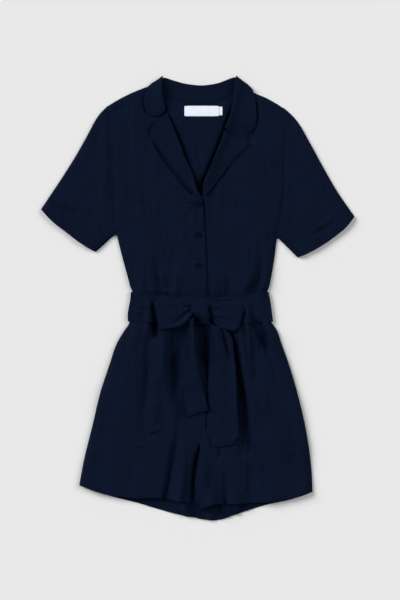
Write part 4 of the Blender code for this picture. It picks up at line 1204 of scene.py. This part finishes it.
def make_belt(rows=26, front_columns=120, back_columns=60):
    left, right = along(BELT_LEFT, rows), along(BELT_RIGHT, rows)
    grid = []
    for share, (left_x, left_y), (right_x, right_y) in zip(np.linspace(0.5, 1, rows + 1), left, right):
        x = np.linspace(left_x + BELT_TURN, right_x - BELT_TURN, front_columns + 1)
        y = np.interp(x, (left_x, right_x), (left_y, right_y)) - share * belt_sag(x)
        ends = rounded(np.minimum(x - left_x, right_x - x), 14)
        drop = EDGE_DROP * np.exp(-min(share - 0.5, 1 - share) / 0.035)
        top = belt_front(x, y) + belt_creases(x, y) * ends + 0.8 * (ends - 1) - drop
        front = np.column_stack([x, y, top])
        x = np.linspace(right_x - BELT_TURN, left_x + BELT_TURN, back_columns + 1)
        y = np.interp(x, (left_x, right_x), (left_y, right_y))
        back = np.column_stack([x, y, np.full(x.shape, FLOOR_CLOTH)])
        right_middle = np.array([right_x - 0.5, right_y, (back[0, 2] + front[-1, 2]) / 2])
        left_middle = np.array([left_x + 0.5, left_y, (back[-1, 2] + front[0, 2]) / 2])
        right_turn = arc(back[0], front[-1], right_middle)
        left_turn = arc(back[-1], front[0], left_middle)
        grid.append(np.concatenate([front, right_turn[::-1], back, left_turn, front[:1]]))
    grid = np.array(grid)
    lay("sash_band", "belt_band", grid, wall=BELT_WALL, ring=True)
    nets["sash_band"] = grid[:, : front_columns + 1]


make_belt()

# %% [markdown]
# The bow is tied from the sash itself: two flattened loops, pinched where the knot grips them, the
# knot wrapped over the pinch, and two ends that hang over the shorts. The pinch drives folds out
# into each loop like the ribs of a fan, so those folds are rays from the knot.

# %% Bow loops
Slice = namedtuple("Slice", "low_x low_y low_z high_x high_y high_z")
LOOP_LEFT = [
    Slice(-6, -31, 6, -5, -21, 4), Slice(-13, -36, 11, -13, -17, 6), Slice(-22, -48, 13, -25, -7, 8),
    Slice(-39, -58, 13, -43, -3.2, 10), Slice(-58, -62.5, 13, -66, -2.5, 12),
    Slice(-69, -65, 14, -79, -3.5, 13.5), Slice(-72, -62.5, 13, -82, -6.5, 13),
]
LOOP_RIGHT = [
    Slice(21, -38, 1.6, 21, -26, 1.6), Slice(28, -41, 2.4, 27.5, -21, 2.4), Slice(34, -51, 8, 33, -13, 8),
    Slice(48, -61, 9, 52, -10, 8), Slice(63, -65, 11, 72, -11.5, 6), Slice(74, -66.5, 12, 86, -12.5, 4.5),
    Slice(77.5, -62, 11, 89, -17, 4),
]
LOOP_GAP, LOOP_WALL, LOOP_BULGE, LOOP_LOW = 0.8, 1.2, 4.0, 1.8
LEFT_RAYS = [
    Fold(
        "dark fold of the left loop", [(-12, -22), (-23, -29), (-35, -41), (-46, -49)],
        (3, 4.5), (-3, -5.5, -1.5), 3,
    ),
    Fold("layer under it", [(-12, -31), (-20, -41), (-35, -52), (-52, -57)], (3, 3.5), (1.5, 3, 1.2)),
    Fold("crease under the layer", [(-30, -55), (-48, -61), (-66, -63)], (2, 2.4), (-1.2, -2, -1)),
    Fold("upper crease", [(-14, -19), (-24, -17), (-34, -17)], (2.2, 2.2), (-2, -2.6, -0.8)),
    Fold("upper ridge", [(-14, -15), (-24, -12), (-34, -11)], (2.2, 2.6), (1, 1.8, 0.5)),
    Fold(
        "soft arc on the left loop", [(-74, -34), (-64, -30), (-54, -36), (-46, -32)],
        (3, 3), (0.6, 1.4, 0.6),
    ),
    Fold("hollow of the left loop", [(-34, -26), (-50, -22), (-70, -22)], (7, 8), (-1, -1.4, -0.6)),
]
RIGHT_RAYS = [
    Fold("upper pinch of the right loop", [(29, -22), (38, -22), (46, -27)], (3, 3.6), (-2.4, -4, -1.2)),
    Fold("lower pinch of the right loop", [(31, -40), (40, -47), (48, -56)], (2.6, 2.6), (-2, -2.8, -0.8)),
    Fold(
        "middle crease of the right loop", [(29, -35), (37, -38), (46, -42)],
        (1.8, 1.8), (-1.6, -2, -0.4),
    ),
    Fold("middle ridge of the right loop", [(29, -31), (42, -33), (62, -37)], (3.2, 5), (1.5, 2.4, 1)),
    Fold("hollow of the right loop", [(60, -20), (76, -24), (88, -34)], (6, 6), (-0.5, -1.4, -0.6)),
    Fold("lower lip of the right loop", [(66, -58), (78, -56), (86, -42)], (3, 3), (0.6, 1.4, 0.6)),
]


def sliced(stations, steps):
    """The low and high lines of a bow piece, in even steps, each point with its height."""
    at = np.linspace(0, len(stations) - 1, steps + 1)
    knots = np.arange(len(stations))
    values = through(knots, [tuple(station) for station in stations], at)
    return values[:, :3], values[:, 3:]


def loop_floor(x, y):
    return belt_front(x, np.clip(y, -46, 8)) + WALL + LOOP_GAP


def make_loop(name, node, stations, rays, outwards, cross=36, steps=48):
    low, high = sliced(stations, steps)
    shares = np.linspace(0, 1, cross + 1)[None]
    x, y, tall = (low[:, k, None] + (high - low)[:, k, None] * shares for k in range(3))
    width = np.linalg.norm((high - low)[:, :2], axis=1)[:, None]
    floor = loop_floor(x, y)
    sides = rounded(np.minimum(shares, 1 - shares) * width, 6)
    fine = 0.4 * swell(x, y, 9, 91) + 0.45 * creases(x, y, 13, 92)
    top = floor + tall * (0.34 + 0.66 * sides) + (relief(x, y, rays) + fine) * sides
    under, over = np.dstack([x, y, floor]), np.dstack([x, y, np.maximum(top, floor + LOOP_LOW)])
    out = (under[-1] + over[-1]) / 2 + np.array([outwards * LOOP_BULGE, 0, 0])
    turn = np.array([arc(under[-1, j], over[-1, j], out[j]) for j in range(cross + 1)]).transpose(1, 0, 2)
    grid = np.concatenate([under, turn, over[::-1]]).transpose(1, 0, 2)
    if outwards < 0:
        grid = grid[::-1]
    flat = np.dstack([np.cumsum(np.full(grid.shape[:2], 1.7), axis=1), grid[..., 1]])
    lay(name, node, grid, wall=LOOP_WALL, flat=flat)
    nets[name] = over


make_loop("left_loop", "bow_loop_left", LOOP_LEFT, LEFT_RAYS, -1)
make_loop("right_loop", "bow_loop_right", LOOP_RIGHT, RIGHT_RAYS, 1)

# %% Knot over the pinch
Wrap = namedtuple("Wrap", "x low high height")
KNOT = [
    Wrap(-14, -29, -20, 11), Wrap(-8, -33, -15, 15), Wrap(0, -39, -12, 17.5), Wrap(9, -46, -11, 18),
    Wrap(16, -53, -11, 17), Wrap(21.5, -56, -12.5, 14),
]
KNOT_PLEAT, KNOT_GAP = 1.1, 2.2


def make_knot(columns=44, rows=48):
    at = np.linspace(KNOT[0].x, KNOT[-1].x, columns + 1)
    low, high, tall = (
        through([wrap.x for wrap in KNOT], [getattr(wrap, part) for wrap in KNOT], at)[:, 0]
        for part in ("low", "high", "height")
    )
    floor = float(belt_front(np.array([7.0]), np.array([WAIST_SEAM_Y]))[0]) + KNOT_GAP
    angle = np.linspace(-28, 208, rows + 1)[:, None] * math.pi / 180
    lean = np.cos(angle) * (high - low) / 2
    x, y = at[None] - 0.10 * lean, (low + high) / 2 + lean
    fan = at[None] * (1 + 0.010 * lean) + 0.32 * lean
    pleats = KNOT_PLEAT * (swell(fan, 0 * fan, 3.4, 95) + 0.5 * swell(fan, lean, 6, 96))
    grid = np.dstack([x, y, floor + (tall[None] + pleats) * np.clip(np.sin(angle), -0.12, 1)])
    flat = np.dstack([x, np.broadcast_to(np.cumsum(np.full((rows + 1, 1), 1.2), axis=0), x.shape)])
    lay("knot", "bow_knot", grid, wall=LOOP_WALL, flat=flat)


make_knot()

# %% Ends of the sash
Cross = namedtuple("Cross", "left left_y right right_y")
TAIL_LEFT = [
    Cross(-9, -34, -4, -36), Cross(-14, -42, -8, -43), Cross(-19, -60, -7, -62), Cross(-24, -90, -4.5, -93),
    Cross(-33, -108, -2.5, -110), Cross(-35.5, -133, 1, -133), Cross(-36, -163, 7, -162),
    Cross(-37.5, -187, 12.5, -186), Cross(-33.5, -213, 17.5, -206), Cross(-26, -237, 21.5, -222),
]
TAIL_RIGHT = [
    Cross(12, -46, 20, -46), Cross(23, -54, 32, -53), Cross(30, -62, 50, -60), Cross(31, -76, 66, -74),
    Cross(27, -106, 71.5, -106), Cross(24.5, -143, 75.5, -143), Cross(22.5, -193, 77.5, -193),
    Cross(21, -243, 79.5, -243), Cross(21, -273, 80.5, -279), Cross(31, -297, 77, -290),
]
TAIL_GAP, TAIL_WALL = 0.5, 1.3
TAIL_LIFT, TAIL_HANG = 1.2, 7.0
LEFT_TAIL_FOLDS = [
    Fold("left tail ridge", [(-9, -44), (-9, -90), (-4, -130), (0, -160)], (6, 4), (8, 7.5, 2)),
    Fold("left tail valley", [(-16, -60), (-18, -100), (-20, -140)], (4, 7), (-1, -1.6, -0.6)),
    Fold("left edge roll", [(-37, -160), (-34, -206), (-27, -236)], (3.4, 3.4), (0, 5, 6)),
    Fold("left tail blotch", [(-8, -160), (2, -164), (8, -172)], (5, 5), (0.2, 0.8, 0.4)),
    Fold("left tail hollow", [(-8, -178), (-6, -196), (-4, -212)], (10, 10), (-0.3, -0.8, -0.4)),
    Fold("curled corner", [(13, -198), (16, -212), (20, -222)], (4.5, 4.5), (2, 6, 6)),
    Fold("left tail hem ripple", [(-16, -228), (-6, -224), (4, -222)], (5, 5), (0.6, 1.6, 0.6)),
]
RIGHT_TAIL_FOLDS = [
    Fold("right tail pleat", [(48, -62), (53, -80), (60, -104), (64, -130)], (3.4, 3.8), (-7, -8, -1)),
    Fold("rib beside it", [(61, -66), (65, -90), (69, -116)], (2.6, 3), (2.5, 3, 0.5)),
    Fold("right tail ridge", [(38, -70), (42, -110), (46, -160), (48, -230)], (9, 12), (2.4, 2.6, 0.8)),
    Fold("left edge lift", [(32, -66), (28, -100), (26, -140)], (6, 5), (3, 3, -1)),
    Fold("right edge lift", [(70, -90), (76, -160), (79, -230), (80, -280)], (6, 7), (2, 4.5, 2.5)),
    Fold("right tail corner", [(68, -284), (73, -280), (78, -274)], (4.5, 4.5), (1.5, 5, 4)),
    Fold("right tail hem ripple", [(32, -284), (48, -286), (60, -286)], (4, 4), (0.4, 1.4, 0.6)),
    Fold("right tail hollow", [(58, -232), (62, -258), (62, -280)], (8, 8), (-0.5, -1.4, -0.4)),
]


def tail_height(x, y):
    belt = belt_front(x, y)
    shorts = front_height(x, y, valleys=False, fine=False)
    share = falling(y, -44, 30)
    return belt * (1 - share) + np.maximum(shorts, belt * (1 - share)) * share + WALL + TAIL_GAP


def make_tail(name, node, stations, folds, cross, rows):
    left = along([(row.left, row.left_y) for row in stations], rows)
    right = along([(row.right, row.right_y) for row in stations], rows)
    shares = np.linspace(0, 1, cross + 1)[None, :, None]
    plan = left[:, None] * (1 - shares) + right[:, None] * shares
    x, y = plan[..., 0], plan[..., 1]
    hang = TAIL_LIFT + TAIL_HANG * rising(y, -240, 170) * falling(y, -35, 12)
    soft = hang + 0.5 * swell(x, y * 0.5, 13, 97) + 0.5 * creases(x, y, 22, 98) + relief(x, y, folds)
    pinch = (1 + 2.2 * rising(y, -90, 40)) * rising(y, -150, 90)
    ribs = 0.45 * swell(shares[..., 0] * 22 + 0 * x, 0 * y, 2.6, 99) * pinch
    grid = np.dstack([x, y, tail_height(x, y) + np.maximum(soft + ribs, -0.2)])[::-1]
    lay(name, node, grid, wall=TAIL_WALL)


make_tail("left_tail", "belt_tail_left", TAIL_LEFT, LEFT_TAIL_FOLDS, 26, 104)
make_tail("right_tail", "belt_tail_right", TAIL_RIGHT, RIGHT_TAIL_FOLDS, 32, 124)

# %% [markdown]
# Three buttons close the placket, dyed like the cloth, so they hardly show. Each is a shallow dish
# with a raised rim and four holes, drawn as one height over rings and spokes, and sits on the
# highest cloth under its rim. A cross of thread holds it.

# %% Buttons
BUTTON_RADIUS, BUTTON_THICKNESS = 5.5, 2.1
RIM_WIDTH, DISH_DEPTH = 1.1, 0.55
HOLE_RADIUS, HOLE_PLACE, HOLE_DEPTH = 0.75, 1.35, 1.1
BUTTON_GAP = 0.15
BUTTONS = {
    "button_1": (0, 190),
    "button_2": (0.5, 128),
    "button_3": (1, 66),
}


def plain_material(name, colour, roughness, specular):
    """A dyed material whose tone and surface vary a little on a fine scale."""
    net = Net(name)
    grain = net.noise(net.node("ShaderNodeTexCoord", {}, {}, 3), 900.0, 2.0)
    tone = net.mix(grain, colour, [channel * 1.5 for channel in colour])
    net.set(Base_Color=tone, Roughness=roughness, Specular_IOR_Level=specular)
    net.set(Normal=net.bump(grain, 0.05, 0.3))
    return net.material


BUTTON_HORN = plain_material("navy_horn", (0.0016, 0.0036, 0.0120), 0.7, 0.02)
THREAD_NAVY = plain_material("navy_thread", (0.0020, 0.0048, 0.0150), 0.8, 0.03)


def button_net(rings=26, spokes=72):
    """Heights over rings and spokes: the flat underside, the rounded rim, and the dish with its holes."""
    away = np.concatenate([np.linspace(0, 1, 5), np.linspace(1, 0, rings)]) * BUTTON_RADIUS
    turn = np.linspace(0, 2 * math.pi, spokes + 1)
    x, y = away[:, None] * np.cos(turn), away[:, None] * np.sin(turn)
    reach, dish = np.hypot(x, y), BUTTON_RADIUS - RIM_WIDTH
    rim = np.sqrt(np.clip(1 - ((reach - dish) / RIM_WIDTH) ** 2, 0, 1))
    drop = DISH_DEPTH * falling(reach, dish, 1.2)
    top = BUTTON_THICKNESS * np.where(reach < dish, 1, 0.55 + 0.45 * rim) - drop
    corners = [(a * HOLE_PLACE, b * HOLE_PLACE) for a in (-1, 1) for b in (-1, 1)]
    hole = np.min([np.hypot(x - a, y - b) for a, b in corners], axis=0)
    top = top - HOLE_DEPTH * soft_step((HOLE_RADIUS - hole) / 0.35 + 0.5)
    return np.dstack([x, y, np.where(np.arange(len(away))[:, None] < 5, 0, top)])


def make_button(name, middle):
    x, y = middle
    turn = np.linspace(0, 2 * math.pi, 24)
    ring = left_front_cloth(x + BUTTON_RADIUS * np.cos(turn), y + BUTTON_RADIUS * np.sin(turn))
    seat = float(ring.max()) + CLOTH / 2 + BUTTON_GAP
    net = button_net() + np.array([x, y, seat])
    made = placed(name + "_dish", grid_mesh(name, net, net[..., :2], ring=True))
    made.data.materials.append(BUTTON_HORN)
    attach(made, "root")
    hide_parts(name)
    return seat + BUTTON_THICKNESS - DISH_DEPTH


button_tops = {name: make_button(name, middle) for name, middle in BUTTONS.items()}

# %% [markdown]
# The neck label is a bare white woven tape with a small size tab folded under its end. It lies on the
# risen back inside the neck, and stitches along both of its long edges hold it.

# %% Neck label
LABEL_BOX = (-26.5, 363, 42.5, 384.5)
TAB_BOX = (43.0, 365, 49.0, 382.5)
TAPE_GAP = 0.35
TAPE_WALL, TAB_BEND = 0.5, 0.35


def woven_tape():
    net = Net("white_woven_tape")
    u, v = net.cloth_map()
    weave = (u * (math.pi / (0.5 * MM))).sine() * (v * (math.pi / (0.32 * MM))).sine()
    net.set(
        Base_Color=net.mix(weave.to(-1, 1), (0.72, 0.75, 0.84), (0.79, 0.82, 0.91)), Roughness=0.6,
        Normal=net.bump(weave, 0.08, 0.5), Specular_IOR_Level=0.2,
    )
    return net.material


def tape_height(x, y):
    return inside_back(x, y) + CLOTH / 2 + TAPE_WALL / 2 + TAPE_GAP


def make_label():
    near, low, far, high = LABEL_BOX
    x, y = np.meshgrid(np.linspace(near, far, 47), np.linspace(low, high, 17))
    ends = 0.9 * (np.abs(x - (near + far) / 2) / ((far - near) / 2)) ** 10
    y = y + ends * ((low + high) / 2 - y) / 11
    grid = np.dstack([x, y, tape_height(x, y) + 0.15 * swell(x, y, 8, 101)])
    lay("label_tape", "neck_label", grid, wall=TAPE_WALL, tape=True)


def make_size_tab():
    """A short tape folded in two, its fold outwards."""
    near, low, far, high = TAB_BOX
    turn = np.radians(np.linspace(-90, 90, 9))
    under = np.linspace(near, far - TAB_BEND, 6)[:-1]
    across = np.concatenate([under, far - TAB_BEND + TAB_BEND * np.cos(turn), under[::-1]])
    lift = np.concatenate([0 * under, TAB_BEND * (1 + np.sin(turn)), 0 * under + 2 * TAB_BEND])
    x, y = np.meshgrid(across, np.linspace(low, high, 17))
    grid = np.dstack([x, y, tape_height(x, y) + lift])
    flat = np.dstack([x + 2 * (far - x) * (np.arange(len(across)) > len(across) // 2), y])
    lay("size_tape", "size_tab", grid, wall=TAPE_WALL, flat=flat, tape=True)


TAPE = woven_tape()
make_label()
make_size_tab()

# %% [markdown]
# Hems, the placket, the collar and the sash are topstitched. A stitch line starts as a polyline at a
# set distance inside an edge of a net. Geometry Nodes lay one small stitch at each step along it,
# turned the way the line runs.

# %% Lines to sew along
Seam = namedtuple("Seam", "net side inset")
ON_BOTH_SIDES = [
    ("sleeve", "last row", SLEEVE_HEM_WIDTH - 2), ("leg_front", "first row", HEM_WIDTH),
    ("lapel", "last column", 5), ("lapel", "last row", 5),
    ("collar_leaf", "last column", 5), ("collar_leaf", "first row", 5),
    ("loop", "first column", 3), ("loop", "last column", 3),
    ("tail", "first column", 3), ("tail", "last column", 3), ("tail", "first row", 5),
]
SEAMS = [
    Seam(f"{hand}_{net}", side, inset) for net, side, inset in ON_BOTH_SIDES for hand in ("left", "right")
]
SEAMS += [
    Seam("front_left", "last column", 4), Seam("front_left", "last column", 33),
    Seam("sash_band", "first row", 3), Seam("sash_band", "last row", 3),
]
LABEL_SEAMS = [Seam("label_tape", "first row", 1.2), Seam("label_tape", "last row", 1.2)]
STITCH_PITCH, STITCH_LENGTH, STITCH_WIDTH = 3.0, 2.2, 0.42


def inset_line(seam):
    """The points at a distance inside one edge of a net, measured along the cloth, on its upper face."""
    net = nets[seam.net]
    if "column" in seam.side:
        net = net.transpose(1, 0, 2)
    if "last" in seam.side:
        net = net[::-1]
    points = []
    for line in net.transpose(1, 0, 2):
        way = walked(line)
        if way[-1] > seam.inset * 2:
            points.append([np.interp(seam.inset, way, line[:, k]) for k in range(3)])
    return np.array(points) + np.array([0, 0, walls[seam.net] / 2 + 0.05])


def polyline_object(name, lines):
    mesh = bpy.data.meshes.new(name)
    points, edges = [], []
    for line in lines:
        edges += [(len(points) + i, len(points) + i + 1) for i in range(len(line) - 1)]
        points += (line * MM).tolist()
    mesh.from_pydata(points, edges, [])
    return placed(name, mesh)


# %% Stitches by Geometry Nodes


def one_stitch():
    """A small rounded stitch along x, thickest in the middle."""
    mesh = bpy.data.meshes.new("one_stitch")
    shape = bmesh.new()
    size = (STITCH_LENGTH * MM, STITCH_WIDTH * MM, STITCH_WIDTH * 0.8 * MM)
    bmesh.ops.create_uvsphere(shape, u_segments=6, v_segments=4, radius=0.5)
    bmesh.ops.scale(shape, vec=size, verts=shape.verts)
    shape.to_mesh(mesh)
    shape.free()
    mesh.shade_smooth()
    return bpy.data.objects.new("one_stitch", mesh)


def stitch_tree():
    tree = bpy.data.node_groups.new("stitches", "GeometryNodeTree")
    for name, way, kind in (
        ("Geometry", "INPUT", "Geometry"), ("Pitch", "INPUT", "Float"), ("Stitch", "INPUT", "Object"),
        ("Thread", "INPUT", "Material"), ("Geometry", "OUTPUT", "Geometry"),
    ):
        tree.interface.new_socket(name, in_out=way, socket_type="NodeSocket" + kind)
    source, result, curve, spaced, tangent, turn, stitch, spread, real, dyed = map(tree.nodes.new, (
        "NodeGroupInput", "NodeGroupOutput", "GeometryNodeMeshToCurve", "GeometryNodeResampleCurve",
        "GeometryNodeInputTangent", "FunctionNodeAlignRotationToVector", "GeometryNodeObjectInfo",
        "GeometryNodeInstanceOnPoints", "GeometryNodeRealizeInstances", "GeometryNodeSetMaterial",
    ))
    if "Mode" in spaced.inputs:
        spaced.inputs["Mode"].default_value = "Length"
    else:
        spaced.mode = "LENGTH"
    turn.axis = "X"
    for start, output, end, target in (
        (source, "Geometry", curve, "Mesh"), (curve, "Curve", spaced, "Curve"),
        (source, "Pitch", spaced, "Length"), (tangent, "Tangent", turn, "Vector"),
        (source, "Stitch", stitch, "Object"), (spaced, "Curve", spread, "Points"),
        (stitch, "Geometry", spread, "Instance"), (turn, "Rotation", spread, "Rotation"),
        (spread, "Instances", real, "Geometry"), (real, "Geometry", dyed, "Geometry"),
        (source, "Thread", dyed, "Material"), (dyed, "Geometry", result, "Geometry"),
    ):
        tree.links.new(start.outputs[output], end.inputs[target])
    return tree


def sew(name, lines, thread):
    holder, stitch = polyline_object(name + "_lines", lines), one_stitch()
    nodes = holder.modifiers.new("stitches", "NODES")
    nodes.node_group = stitch_tree()
    sockets = nodes.node_group.interface.items_tree
    inputs = {item.name: item.identifier for item in sockets if item.in_out == "INPUT"}
    nodes[inputs["Pitch"]] = STITCH_PITCH * MM
    nodes[inputs["Stitch"]] = stitch
    nodes[inputs["Thread"]] = thread
    shown = bpy.context.evaluated_depsgraph_get()
    mesh = bpy.data.meshes.new_from_object(holder.evaluated_get(shown))
    bpy.data.objects.remove(holder)
    bpy.data.objects.remove(stitch)
    sewn = placed(name, mesh)
    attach(sewn, "root")
    print(name, "faces:", len(mesh.polygons))


def button_threads():
    """A cross of thread over each button, from hole to hole."""
    lines = []
    for name, (x, y) in BUTTONS.items():
        top = button_tops[name] + 0.1
        for lean in (-HOLE_PLACE, HOLE_PLACE):
            lines.append(np.array([[x - HOLE_PLACE, y - lean, top], [x + HOLE_PLACE, y + lean, top]]))
    return lines


sew("navy_stitches", [inset_line(seam) for seam in SEAMS] + button_threads(), THREAD_NAVY)
THREAD_WHITE = plain_material("white_thread", (0.50, 0.52, 0.58), 0.8, 0.1)
sew("white_stitches", [inset_line(seam) for seam in LABEL_SEAMS], THREAD_WHITE)

# %% [markdown]
# The floor is a plain pale sheet. Two wide, soft lamps stand low on the left and right, as over a
# table for garments. They leave upright folds dark, because neither lamp reaches into them, while
# edges that run across stay quiet. A weak sky fills in the rest.

# %% Floor and light
FLOOR_GREY = 0.80
Lamp = namedtuple("Lamp", "name towards strength softness")
LAMPS = [
    Lamp("left_lamp", (-1.0, 0.60, 0.78), 3.00, 34.0),
    Lamp("right_lamp", (1.0, 0.30, 0.82), 1.35, 34.0),
]
SKY_STRENGTH = 0.22


def make_floor():
    net = Net("pale_floor")
    net.set(Base_Color=(FLOOR_GREY, FLOOR_GREY, FLOOR_GREY, 1), Roughness=0.9, Specular_IOR_Level=0.0)
    bpy.ops.mesh.primitive_plane_add(size=12)
    floor = bpy.context.object
    floor.name = "floor"
    floor.data.materials.append(net.material)


def make_light():
    for lamp in LAMPS:
        light = bpy.data.lights.new(lamp.name, "SUN")
        light.energy = lamp.strength
        light.angle = math.radians(lamp.softness)
        placed(lamp.name, light).rotation_euler = Vector(lamp.towards).to_track_quat("Z", "Y").to_euler()
    world = bpy.data.worlds.new("sky")
    world.use_nodes = True
    world.node_tree.nodes["Background"].inputs[0].default_value = (1, 1, 1, 1)
    world.node_tree.nodes["Background"].inputs[1].default_value = SKY_STRENGTH
    bpy.context.scene.world = world
    bpy.context.scene.view_settings.view_transform = "Standard"


make_floor()
make_light()
